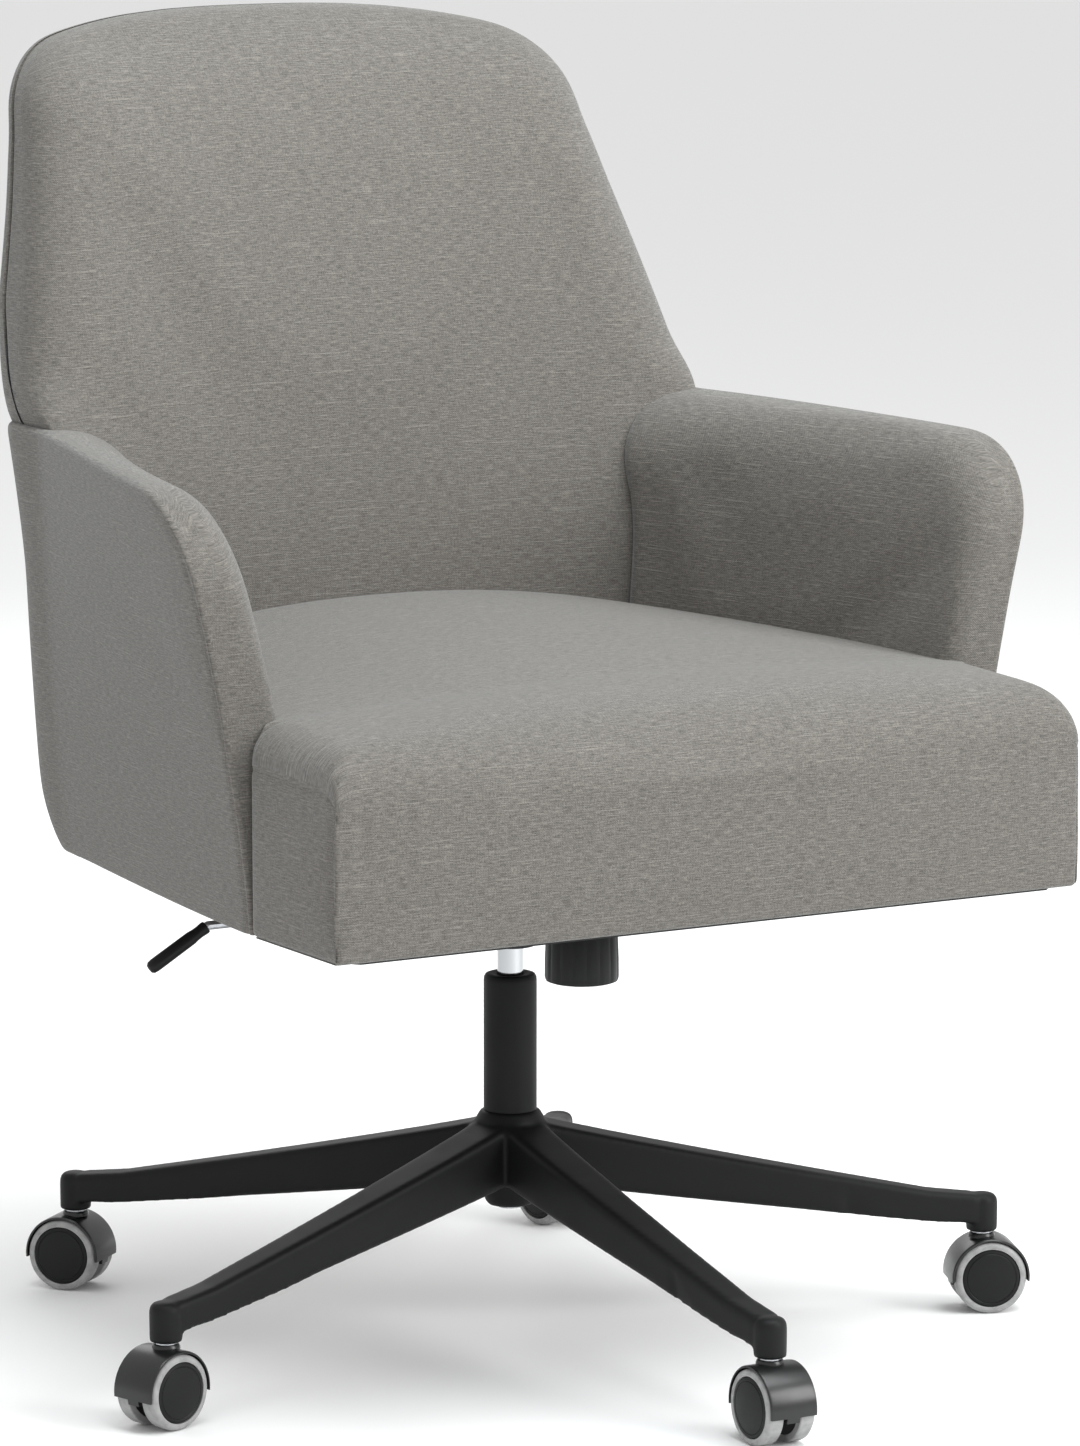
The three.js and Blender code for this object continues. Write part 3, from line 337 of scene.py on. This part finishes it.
def base_arm(bm):
    made = bmesh.ops.create_cube(bm, size=1)
    verts = made["verts"]
    edges = {e for v in verts for e in v.link_edges}
    long_edges = [e for e in edges if abs((e.verts[0].co - e.verts[1].co).x) > 0.5]
    bmesh.ops.subdivide_edges(bm, edges=long_edges, cuts=9)
    for v in bm.verts:
        share = v.co.x + 0.5
        reach = 4 + share * (BASE_RADIUS - 10)
        slim = min(share / 0.96, 1) ** 0.92
        width = ARM_WIDTHS[0] + (ARM_WIDTHS[1] - ARM_WIDTHS[0]) * slim
        top = HUB_TOP - 3 + (BOSS_TOP - HUB_TOP + 3) * slim
        deep = ARM_DEPTHS[0] + (ARM_DEPTHS[1] - ARM_DEPTHS[0]) * slim
        low = v.co.z < 0
        v.co = Vector((reach, 2 * v.co.y * (width / 2 - (1 if low else 0)), top - (deep if low else 0))) * MM
    ridge = [
        e
        for e in bm.edges
        if all(v.co.z > 75 * MM for v in e.verts)
        and abs(e.verts[0].co.y - e.verts[1].co.y) < 3 * MM
        and abs(e.verts[0].co.y) > 5 * MM
    ]
    bmesh.ops.bevel(
        bm, geom=ridge, offset=RIDGE_BEVEL * MM, offset_type="OFFSET", segments=3, profile=0.5,
        affect="EDGES", material=-1, clamp_overlap=True,
    )


def cast_base():
    whole = bmesh.new()
    boss = [(0, 0), (11.3, 0), (11.5, 21.5), (10.7, 24.8), (8.6, 27), (5.5, 28), (0, 28)]
    for i in range(5):
        arm = bmesh.new()
        base_arm(arm)
        turned(arm, [(r, BOSS_BOTTOM + h) for r, h in boss], 32, (BASE_RADIUS * MM, 0, 0))
        turn = Matrix.Rotation(math.radians(-90 + 72 * i), 4, "Z")
        bmesh.ops.transform(arm, matrix=turn, verts=arm.verts)
        part = bpy.data.meshes.new("arm")
        arm.to_mesh(part)
        arm.free()
        whole.from_mesh(part)
        bpy.data.meshes.remove(part)
    hub = [(0, 95), (15.5, 95), (18, 98), (24, 120), (24.5, 158), (21, HUB_TOP), (0, HUB_TOP)]
    turned(whole, hub, 48)
    return whole


star = put(cast_base(), "cast_star_base", "base", powder_black, ("base_star",), smooth=180)
melt = star.modifiers.new("melt", "REMESH")
melt.mode, melt.voxel_size, melt.use_smooth_shade = "VOXEL", 1.7 * MM, True
relax = star.modifiers.new("relax", "SMOOTH")
relax.factor, relax.iterations = 0.5, 5


def apply_modifiers(piece):
    view = bpy.context.evaluated_depsgraph_get()
    solid = bpy.data.meshes.new_from_object(piece.evaluated_get(view), depsgraph=view)
    piece.modifiers.clear()
    old, piece.data = piece.data, solid
    solid.name = old.name
    bpy.data.meshes.remove(old)


apply_modifiers(star)
print("base faces:", len(star.data.polygons))

# %% [markdown]
# The lift is turned work: a black sleeve with a rolled lip, the bright cylinder that slides in it, and the
# black collar of the mechanism above. A profile spun round the column makes each of them.
# %% Sleeve, cylinder and collar
bm = bmesh.new()
lip = [(19, 258), (18.7, 260.5), (17.6, 262.4), (16, 263), (12.5, 262.6), (10, 262.2)]
turned(bm, [(15.6, 166), (19, 164.4), *lip, (10, 240), (15.6, 238), (15.6, 166)])
put(bm, "lift_sleeve", "base", powder_black, ("column_tube",), smooth=30)

bm = bmesh.new()
turned(bm, [(0, 124), (9.3, 124), (9.3, 283), (8.2, 314), (3.3, 314), (3.3, 294), (0, 294)])
put(bm, "chrome_cylinder", "lift", chrome, ("gas_cylinder",), smooth=30)

bm = bmesh.new()
foot = [(9.9, 284.6), (11.2, 283.2), (16.8, 283.2), (18.4, 284.6)]
turned(bm, [*foot, (18.6, 302.8), (18.2, 302.8), (9.9, 302.6), foot[0]])
put(bm, "socket_collar", "mechanism", moulded_black, smooth=30)

# %% [markdown]
# The tension knob is a hand knob with shallow flutes. It is a spun cup, and the flutes are pressed into
# its rim with a narrow wave that goes round it sixteen times.
# %% Tension knob
bm = bmesh.new()
FLUTES, FLUTE_DEPTH, KNOB_Y = 16, 0.7, -100
underside = [(0, 274.6), (9, 274.6), (10, 274), (22.5, 274), (25.2, 275), (26, 277.5)]
rim = [(25.9, 290), (25.2, 308), (24, 311.4), (21, 312)]
turned(bm, [*underside, *rim, (4.8, 312), (4.8, 279), (0, 279)], FLUTES * 6, (0, KNOB_Y * MM, 0))
for v in bm.verts:
    out = v.co - Vector((0, KNOB_Y * MM, v.co.z))
    if out.length > 24.6 * MM and 277 * MM < v.co.z < 309 * MM:
        wave = math.cos(math.atan2(out.y, out.x) * FLUTES)
        v.co -= out.normalized() * max(0.0, wave) ** 3 * FLUTE_DEPTH * MM
put(bm, "fluted_knob", "tension_knob", moulded_black, ("tension_knob",), smooth=34)

# %% [markdown]
# The height lever's grip is moulded over the steel rod: a slim neck, a swelling handle and a rounded end.
# %% Lever grip
root = Vector((-211, 60, 307.05))  # where the grip starts on the rod
droop = math.radians(33)
along = Vector((-math.cos(droop), 0.12, -math.sin(droop))).normalized()
bm = bmesh.new()
neck = [(3.65, 2), (4.4, 1.4), (4.7, 3), (4.3, 7), (4.4, 11)]
handle = [(4.9, 15), (5.0, 40), (5.0, 47), (4.6, 50), (3.2, 51.7), (0, 52.3)]
turned(bm, neck + handle, 40, root * MM, along, (0, 1, 0))
bmesh.ops.holes_fill(bm, edges=bm.edges, sides=0)
put(bm, "lever_handle", "release_lever", moulded_black, ("release_lever_grip",), smooth=40)

# %% [markdown]
# Each caster is a half-round hood over two wheels. The hood's section, a flat roof with rounded shoulders
# and short side lips, is spun half way round the axle. A web in the middle carries the axle, and a neck
# on top meets the stem. The wheel is a slightly domed black disc with a grey tread pressed over it.
# %% Caster pieces
WHEEL_RADIUS, TRAIL = 26.3, 4
AXLE = Vector((TRAIL, 0, WHEEL_RADIUS)) * MM


def caster_hood():
    bm = bmesh.new()
    shoulder = [(28.8, 16), (28.6, 17.4), (28.0, 18.1), (27.1, 18.1)]
    section = [(r, -w) for r, w in reversed(shoulder)] + shoulder
    start = math.radians(-6)
    out = Vector((math.cos(start), 0, math.sin(start)))
    row = [bm.verts.new(AXLE + (out * r + Vector((0, 1, 0)) * w) * MM) for r, w in section]
    edges = [bm.edges.new(pair) for pair in zip(row, row[1:] + row[:1])]
    bmesh.ops.spin(bm, geom=row + edges, cent=AXLE, axis=(0, -1, 0), angle=math.radians(192), steps=44)
    bmesh.ops.holes_fill(bm, edges=bm.edges, sides=0)
    size = {"radius1": 27.9 * MM, "radius2": 27.9 * MM, "depth": 10 * MM}
    web = bmesh.ops.create_cone(bm, cap_ends=True, segments=48, **size)
    turn = Matrix.Translation(AXLE) @ Matrix.Rotation(math.pi / 2, 4, "X")
    bmesh.ops.transform(bm, matrix=turn, verts=web["verts"])
    faces = {f for v in web["verts"] for f in v.link_faces}
    geom = list(web["verts"]) + list({e for v in web["verts"] for e in v.link_edges}) + list(faces)
    level = AXLE - Vector((0, 0, 7 * MM))
    cut = bmesh.ops.bisect_plane(bm, geom=geom, plane_co=level, plane_no=(0, 0, -1), clear_outer=True)
    rim = [g for g in cut["geom_cut"] if isinstance(g, bmesh.types.BMEdge)]
    bmesh.ops.edgeloop_fill(bm, edges=rim)
    turned(bm, [(0, 53.9), (9.8, 53.9), (9.6, 55.6), (8.8, 56.9), (7.4, 57.3), (0, 57.3)], 36)
    return bm


def caster_disc(side):
    bm = bmesh.new()
    dome = [(0, 20.2), (6, 20.1), (12, 19.7), (17.6, 18.9)]
    groove = [(18.2, 18.4), (18.8, 18.7), (20.6, 18.2), (21.15, 17.2)]
    bore = [(21.15, 6.3), (3.35, 6.3), (3.35, 16.2), (0, 16.2)]
    turned(bm, [(r, side * w) for r, w in dome + groove + bore], 64, AXLE, (0, 1, 0))
    return bm


def caster_tread(side):
    bm = bmesh.new()
    inner = [(21.35, 6.6), (25.5, 6.6), (26.2, 7.3), (26.3, 8.6)]
    outer = [(26.3, 15.4), (25.8, 17.2), (24.6, 18.3), (22.9, 18.7), (21.35, 18.5)]
    turned(bm, [(r, side * w) for r, w in inner + outer + inner[:1]], 64, AXLE, (0, 1, 0))
    return bm


HEADINGS = (-91, -22, 100, 129, -163)
for i, heading in enumerate(HEADINGS):
    corner = math.radians(-90 + 72 * i)
    spot = Vector((math.cos(corner), math.sin(corner), 0)) * BASE_RADIUS * MM
    move = Matrix.Translation(spot) @ Matrix.Rotation(math.radians(heading), 4, "Z")
    name = f"caster_{i + 1}"
    bm = caster_hood()
    bmesh.ops.transform(bm, matrix=move, verts=bm.verts)
    put(bm, f"{name}_moulded_hood", name, glossy_black, (f"{name}_hood",), smooth=32)
    for side, sign in (("left", 1), ("right", -1)):
        wheel = f"{name}_wheel_{side}"
        bm = caster_disc(sign)
        bmesh.ops.transform(bm, matrix=move, verts=bm.verts)
        put(bm, f"{name}_disc_{side}", wheel, moulded_black, (wheel,), smooth=28)
        bm = caster_tread(sign)
        bmesh.ops.transform(bm, matrix=move, verts=bm.verts)
        stands_for = (f"{name}_tread_{side}",)
        put(bm, f"{name}_tyre_{side}", wheel, soft_grey, stands_for, smooth=40)

# %% [markdown]
# The upholstery follows a few surfaces: the arms lean out as they rise, the back wraps forward at its
# sides and reclines above the arms. The same simple formulas give both faces of each panel, so a pad
# can be laid between them. Heights and distances here are in millimetres.
# %% Surfaces of the tub
SEAT_BOTTOM, ARM_TOP, BACK_WRAP = 343, 648, 34


def clamp(value, low=0.0, high=1.0):
    return max(low, min(high, value))


def mix(a, b, share):
    return a + (b - a) * share


def rise(z):
    return clamp((z - SEAT_BOTTOM) / (ARM_TOP - SEAT_BOTTOM))


def arm_outer(y, z):
    along_arm = clamp((y + 157) / 345)
    return mix(292 + 55 * rise(z) ** 1.35, 254 + 22 * rise(z) ** 0.6, along_arm**1.25)


def arm_inner(y, z):
    along_arm = clamp((y + 157) / 345)
    return arm_outer(y, z) - 46 - 36 * along_arm**2.2


def back_rear(z):
    recline = 124 * (max(z - 540, 0) / 391) ** 1.45
    return 268 + recline - 22 * clamp((398 - z) / 55) ** 2


def back_depth(z):
    return mix(80, 64, clamp((z - 540) / 391))


def back_half(z):
    if z < 648:
        return mix(254, 272, rise(z) ** 0.6) - 6 * clamp((654 - z) / 12)
    return mix(274, 222, clamp((z - 645) / 245)) + 4 * clamp((z - 648) / 30) * (1 - clamp((z - 690) / 110))


def back_face(x, z, share):
    across = clamp(abs(x) / back_half(min(z, 890)))
    middle = back_rear(z) - back_depth(z) / 2
    straighter = mix(0.55, 0.25, clamp((z - 700) / 150)) * share
    return middle + (share - 0.5) * back_depth(z) - BACK_WRAP * across**2.4 * (1 - straighter)


def side_rear(z):
    """Where the rear face would meet the side, if the corner between them were sharp."""
    return back_face(back_half(min(z, 890)), z, 1)


def corner_share(z):
    """The rear corners are round below the arms' tops, and sharpen to a seam above them."""
    return 1 - clamp((z - 640) / 90)


# %% [markdown]
# A panel is a cube that is cut into a fine grid and then laid into place: two of its sides become the
# panel's faces, and the rest become its rim. The rim is rounded by moving each face in by a quarter circle
# near the outline, so the cover turns over the edge as cloth over foam does. Rows are closer together near the
# edges, where the shape turns and where a seam is drawn in.
# %% Helpers for padded panels
EDGE_ROWS = (0, 0.7, 2.0, 3.4, 5.0, 8.0, 12.5, 18.5, 27)


def rows(length, count, first=EDGE_ROWS, last=EDGE_ROWS):
    """Shares of a length: close rows near each end, even rows between them."""
    start = [value / length for value in first]
    end = [1 - value / length for value in reversed(last)]
    low, high = start[-1], end[0]
    middle = [mix(low, high, (i + 1) / (count + 1)) for i in range(count)]
    return start + middle + end


def walk(points, share):
    """The point at a share of a polyline's length."""
    lengths = [(b - a).length for a, b in zip(points, points[1:])]
    left = clamp(share) * sum(lengths)
    for a, b, length in zip(points, points[1:], lengths):
        if left <= length or b is points[-1]:
            return a.lerp(b, min(left / max(length, 1e-9), 1))
        left -= length


def length_of(points):
    return sum((b - a).length for a, b in zip(points, points[1:]))


def patch(bottom, top, first, last, a, b):
    """A point inside four boundary lines, by blending opposite sides."""
    low, high, left, right = walk(bottom, a), walk(top, a), walk(first, b), walk(last, b)
    corners = bottom[0] * (1 - a) * (1 - b) + bottom[-1] * a * (1 - b) + top[0] * (1 - a) * b + top[-1] * a * b
    return low * (1 - b) + high * b + left * (1 - a) + right * a - corners


def from_outline(point, outline):
    """The distance from a point to a polyline."""
    best = 1e9
    for a, b in zip(outline, outline[1:]):
        line = b - a
        share = clamp((point - a).dot(line) / max(line.length_squared, 1e-9))
        best = min(best, (point - a - line * share).length)
    return best


def turn_in(distance, radius, depth=None):
    """How far a rounded edge has moved in, at a distance from the outline; a depth makes it an ellipse."""
    if distance >= radius or radius <= 0:
        return 0.0
    drop = radius - math.sqrt(max(radius**2 - (radius - distance) ** 2, 0))
    return drop if depth is None else drop * depth / radius


def curl(distance, radius):
    """How much longer the cloth over a rounded edge is than the flat distance that it covers."""
    if distance >= radius:
        return 0.0
    flat = radius - distance
    return radius * math.asin(flat / radius) - flat


def gridded_cube(a_rows, q_rows, b_rows):
    bm = bmesh.new()
    bmesh.ops.create_cube(bm, size=2)
    for axis, shares in enumerate((a_rows, q_rows, b_rows)):
        lines = [e for e in bm.edges if abs((e.verts[0].co - e.verts[1].co)[axis]) > 1e-4]
        bmesh.ops.subdivide_edges(bm, edges=lines, cuts=len(shares) - 2, use_grid_fill=True)
    side = bm.faces.layers.int.new("side")
    bm.normal_update()
    for face in bm.faces:
        face[side] = max(range(3), key=lambda k: abs(face.normal[k]))
    for v in bm.verts:
        for axis, shares in enumerate((a_rows, q_rows, b_rows)):
            index = round((v.co[axis] + 1) / 2 * (len(shares) - 1))
            v.co[axis] = shares[index]
    return bm


def lay_panel(a_rows, q_rows, b_rows, place, weave):
    """Shapes a gridded cube and maps its weave in metres."""
    bm = gridded_cube(a_rows, q_rows, b_rows)
    side = bm.faces.layers.int["side"]
    laid = bm.loops.layers.uv.new("Weave")
    spots = {v: place(*v.co) for v in bm.verts}
    for face in bm.faces:
        for loop in face.loops:
            u, v = weave(face[side], spots[loop.vert], loop.vert.co)
            loop[laid].uv = (u * MM, v * MM)
    for v, spot in spots.items():
        v.co = spot * MM
    bmesh.ops.recalc_face_normals(bm, faces=bm.faces)
    return bm


# %% [markdown]
# Foam under a cover swells against its seams. Each pad is finished with Blender's cloth simulation: a little
# pressure inside, no gravity, and the seams held still by a pin group. How far any point may move is capped,
# so that the pad keeps its size.
# %% Helper that lets a pad swell
def swell(piece, held, pressure, cap, frames=14, stiffness=25):
    pins = piece.vertex_groups.new(name="seams")
    for index, weight in held.items():
        pins.add([index], weight, "REPLACE")
    start = [v.co.copy() for v in piece.data.vertices]
    cloth = piece.modifiers.new("foam_pressure", "CLOTH")
    settings = cloth.settings
    settings.quality = 5
    settings.mass = 0.35
    settings.tension_stiffness = settings.compression_stiffness = stiffness
    settings.shear_stiffness = 12
    settings.bending_stiffness = 4
    settings.use_pressure = True
    settings.uniform_pressure_force = pressure
    settings.vertex_group_mass = "seams"
    settings.pin_stiffness = 1
    settings.effector_weights.gravity = 0
    cloth.collision_settings.use_collision = False
    cloth.point_cache.frame_start, cloth.point_cache.frame_end = 1, frames
    for step in range(1, frames + 1):
        scene.frame_set(step)
    view = bpy.context.evaluated_depsgraph_get()
    swollen = [v.co.copy() for v in piece.evaluated_get(view).data.vertices]
    piece.modifiers.remove(cloth)
    scene.frame_set(1)
    piece.vertex_groups.remove(pins)
    furthest = 0.0
    for v, before, after in zip(piece.data.vertices, start, swollen):
        move = after - before
        furthest = max(furthest, move.length)
        v.co = before + move * min(1.0, cap / max(move.length, 1e-9))
    print(piece.name, "swells by up to", round(min(furthest, cap) * 1000, 1), "mm")


def upholster(bm, name, stands_for, held_if, pressure, cap):
    piece = put(bm, name, "seat", linen, stands_for, smooth=180)
    held = {v.index: 1.0 for v in piece.data.vertices if held_if(v.co / MM)}
    swell(piece, held, pressure, cap * MM)
    fine = piece.modifiers.new("fine_skin", "SUBSURF")
    fine.levels = fine.render_levels = 1


# %% [markdown]
# An arm is a slab that leans out and curves down to the seat at its front. Its outline, seen from the
# side, is a straight front, a quarter circle and a top that falls a little to the front. The inner edge is
# softly rounded, more so towards the back. The outer edge is tight, because the outer panel is sewn on there,
# with the seam drawn in a few millimetres from it. Past the back's front face only the outer cover goes on:
# it wraps round the rear corner, over the side of the back.
# %% Arms
ARM_FRONT, ARM_LENGTH, ARM_CORNER = -156.6, 345, 73


def arc(centre, radius, start, end, steps=16):
    return [
        Vector((centre[0] + radius * math.cos(a), centre[1] + radius * math.sin(a)))
        for a in (math.radians(mix(start, end, i / steps)) for i in range(steps + 1))
    ]


def arm_panel(sign):
    bend = (ARM_FRONT + ARM_CORNER, ARM_TOP - ARM_CORNER)
    rear_y = lambda z: side_rear(z) - 4
    pad_y = lambda z: back_face(back_half(z) - 40, z, 0)
    front = [Vector((ARM_FRONT, SEAT_BOTTOM))] + arc(bend, ARM_CORNER, 180, 135)
    top = arc(bend, ARM_CORNER, 135, 90) + [Vector((rear_y(ARM_TOP), ARM_TOP))]
    rear = [Vector((rear_y(z), z)) for z in (SEAT_BOTTOM, 400, 460, 520, 580, 620, ARM_TOP)]
    bottom = [front[0], rear[0]]
    exposed = front + top[1:]

    def place(a, q, b):
        point = patch(bottom, top, front, rear, a, b)
        y, z = point
        d = from_outline(point, exposed)
        outer, inner = arm_outer(y, z), arm_inner(y, z)
        seam_end = clamp((z - 575) / 50)
        tuck = 2.2 * math.exp(-(((d - 4.6) / 1.5) ** 2)) * (1 - 0.8 * clamp((z - 600) / 40))
        near = outer - turn_in(d, mix(3.5, 6, seam_end)) - tuck
        near -= turn_in(side_rear(z) - y, 40)
        along_arm = (y - ARM_FRONT) / ARM_LENGTH
        depth = clamp(along_arm) ** 1.4
        foot = mix(13, 24, clamp((z - 500) / 90))
        far = inner + turn_in(d, mix(foot, 62, depth), mix(foot + 1, 66, depth))
        far = mix(far, near - 4, clamp((y - pad_y(z) - 8) / 16))
        sag = 9 * clamp(1 - along_arm) ** 1.5 * clamp((z - 540) / 108)
        return Vector((sign * mix(near, far, q), y, z - sag))

    def weave(side, spot, grid):
        if side == 1:
            if grid.y < 0.5:
                return spot.y, spot.z
            crest = curl(from_outline(Vector((spot.y, spot.z)), exposed), 40)
            upper = clamp((spot.z - 560) / 60)
            return spot.y - crest * (1 - upper) + 700, spot.z + crest * upper
        if side == 0:
            return spot.x, spot.z + 300
        return spot.y + 350, spot.z + (spot.x if sign > 0 else -spot.x)

    a_rows = rows(length_of(top), 28, last=(0, 3, 7, 12, 18, 26, 36, 48))
    b_rows = rows(length_of(front), 22, first=(0, 2, 6, 14))
    q_rows = [0, 0.06, 0.2, 0.4, 0.6, 0.8, 0.94, 1]
    bm = lay_panel(a_rows, q_rows, b_rows, place, weave)
    held = lambda co: co.y > 140 or co.z < 470 or from_outline(Vector((co.y, co.z)), exposed) < 3
    name = "left" if sign > 0 else "right"
    upholster(bm, f"arm_upholstery_{name}", (f"arm_pad_{name}",), held, 1.2, 4)


arm_panel(1)
arm_panel(-1)

# %% [markdown]
# The back is made of an inner pad and an outer panel, sewn together round the rim. Seen from the front it
# narrows upwards, with round top corners and an arched top. Above the arms the inner pad's face rolls softly
# back to the seam, and below them it is square, where the arms are sewn to it. The rear corners are round
# below the arms' tops, and sharpen to the seam above.
# %% Back
CORNER, CORNER_END, ARCH_TOP, ARCH_RISE = 70, 70, 931, 17
SEAM_SHARE = 1 - 13 / 80  # where in the back's thickness the seam lies


def back_outline():
    """The right half of the outline: up the side, round the corner, and along the top to the middle."""
    corner_z = ARCH_TOP - ARCH_RISE - CORNER * math.sin(math.radians(CORNER_END))
    half = back_half(corner_z) - 1
    side = [Vector((back_half(z), z)) for z in range(SEAT_BOTTOM, int(corner_z), 15)]
    bend = arc((half - CORNER, corner_z), CORNER, 0, CORNER_END, 20)
    reach, height = bend[-1]
    steps = (0.9, 0.8, 0.7, 0.6, 0.4, 0.2, 0)
    arch = [Vector((reach * s, ARCH_TOP - (ARCH_TOP - height) * s**2.8)) for s in steps]
    turn = len(bend) // 2
    return side + bend[: turn + 1], bend[turn:] + arch


def back_panel(name, stands_for, shares, near_roll, far_roll, seam, pressure, cap):
    """A panel between two shares of the back's thickness; near_roll is a width and a depth."""
    right_side, right_top = back_outline()
    flip = lambda points: [Vector((-p.x, p.y)) for p in points]
    left_side = flip(right_side)
    top = flip(right_top) + list(reversed(right_top))[1:]
    bottom = [left_side[0], right_side[0]]
    exposed = left_side + top[1:] + list(reversed(right_side))[1:]
    outer = shares[0] > 0.5

    def place(a, q, b):
        point = patch(bottom, top, left_side, right_side, a, b)
        x, z = point
        d = from_outline(point, exposed)
        near, far = back_face(x, z, shares[0]), back_face(x, z, shares[1])
        above = clamp((z - 640) / 40)
        near += turn_in(d, mix(4, near_roll[0], above), mix(4, near_roll[1], above))
        far -= turn_in(d, far_roll) + seam * math.exp(-(((d - 4.2) / 1.7) ** 2))
        corner = turn_in(back_half(min(z, 890)) - abs(x), 38) * corner_share(z)
        far -= corner
        near -= corner if outer else 0
        near = min(near, far - 3)
        return Vector((x, mix(near, far, q), z))

    def weave(side, spot, grid):
        if side == 0:
            return spot.y, spot.z
        if side == 2:
            return spot.x, spot.z + spot.y
        if grid.y > 0.5:
            return spot.x + 900, spot.z * 1.06
        edge = 0 if outer else curl(from_outline(Vector((spot.x, spot.z)), exposed), 50)
        upper = clamp((spot.z - 850) / 60)
        return spot.x + math.copysign(edge * (1 - upper), spot.x), spot.z * 1.06 + edge * upper

    a_rows = rows(2 * length_of(right_top), 34)
    b_rows = rows(length_of(right_side), 40, first=(0, 3, 9, 20))
    q_rows = [0, 0.07, 0.25, 0.5, 0.75, 0.93, 1]
    bm = lay_panel(a_rows, q_rows, b_rows, place, weave)
    held = lambda co: co.z < 520 or from_outline(Vector((co.x, co.z)), exposed) < 3
    upholster(bm, name, stands_for, held, pressure, cap)


inner_shares, outer_shares = (0, SEAM_SHARE - 0.02), (SEAM_SHARE + 0.005, 1.0)
back_panel("inner_back_upholstery", ("back_pad",), inner_shares, (58, 47), 3.0, 0, 1.2, 6)
back_panel("outside_back_upholstery", ("outside_back",), outer_shares, (2.0, 2.0), 9, 0.8, 0.4, 3)

# %% [markdown]
# The seat is a block in front, as wide as the chair, that carries on between the arms as a crowned deck.
# One length of cloth runs up the front and over the deck, and the side panels are sewn to it along the top and
# down the front corners. The cube's rows are set so that one of them lands on the shoulder.
# %% Seat
SEAT_FRONT, SEAT_REAR, SHOULDER = -282, 187, -157.5
BLOCK_HALF, FRONT_ROLL, SIDE_ROLL = 294, 38, 28
STRAIGHT = 0.66  # the middle share of the width, where rows run straight back past the shoulder


def deck_height(x, y, half):
    """Height of the deck: crowned, rolled over at the front, and at the sides of the block."""
    depth = clamp((y - SEAT_FRONT) / (SEAT_REAR - SEAT_FRONT))
    across = clamp(abs(x) / half)
    middle = mix(486, 513, math.sin(depth * math.pi / 2))
    height = mix(middle, mix(484, 495, depth), across**2.2)
    front = turn_in(y - SEAT_FRONT, FRONT_ROLL, 36)
    side = turn_in(half - abs(x), SIDE_ROLL, 26) if y < SHOULDER - 1 else 0
    neck = turn_in(SHOULDER - y, 8, 2.5) if y < SHOULDER and abs(x) > 262 else 0
    return height - math.hypot(front, side) - neck


def seat_half(y, z):
    if y < SHOULDER - 1:
        return BLOCK_HALF
    return arm_inner(y, z) + 1.2 + turn_in(y - ARM_FRONT, 13, 14)


def seat_place(a, q, b):
    y = SEAT_FRONT + q
    half = seat_half(y, mix(SEAT_BOTTOM, 492, b))
    reach = abs(2 * a - 1)
    if reach > STRAIGHT:
        x = mix(STRAIGHT * BLOCK_HALF, half, (reach - STRAIGHT) / (1 - STRAIGHT))
    else:
        x = reach * BLOCK_HALF
    x = math.copysign(x, a - 0.5)
    top = deck_height(x, y, half)
    z = mix(SEAT_BOTTOM, top, b)
    hem = turn_in(z - SEAT_BOTTOM, 4)
    if q <= 0:
        y += turn_in(BLOCK_HALF - abs(x), 5)
    if q < 30:
        y += hem
    if y < SHOULDER - 1 and reach > 1 - 1e-6:
        seam = 1.3 * math.exp(-(((top - z - 3.5) / 2.2) ** 2))
        x -= math.copysign(seam + hem + turn_in(SHOULDER - y, 8, 3), x)
    return Vector((x, y, z))


def seat_weave(side, spot, _grid):
    if side == 0:
        return spot.y, spot.z
    if side == 1:
        return spot.x, spot.z
    past = spot.y - SEAT_FRONT
    return spot.x, 450 + past + curl(0, FRONT_ROLL) - curl(max(past, 0), FRONT_ROLL)


def seat_held(co):
    lower_edge = co.z < 352
    under_arms = co.y > SHOULDER - 3 and abs(co.x) > 150
    side_seams = abs(co.x) > 289.5 and co.z > 440
    return lower_edge or under_arms or co.y > 175 or side_seams


side_rows = (0, 1, 2.5, 4.5, 7.5, 11.5, 16.5, 22.5, 30)
width_rows = rows(584, 34, side_rows, side_rows)
bend_rows = [FRONT_ROLL * (1 - math.cos(math.radians(a))) for a in (0, 12, 24, 36, 48, 60, 75, 90)]
block_rows = [57, 72, 88, 104, 117, 121.5, 123.5, 126, 129, 136]
deck_rows = [mix(146, SEAT_REAR - SEAT_FRONT, i / 22) for i in range(23)]
depth_rows = bend_rows + block_rows + deck_rows
height_rows = rows(117, 6, first=(0, 1.5, 4, 8, 14), last=(0, 1.5, 3.5, 5.5, 8, 12, 18))
bm = lay_panel(width_rows, depth_rows, height_rows, seat_place, seat_weave)
upholster(bm, "seat_upholstery", ("seat_cushion",), seat_held, 1.6, 4)
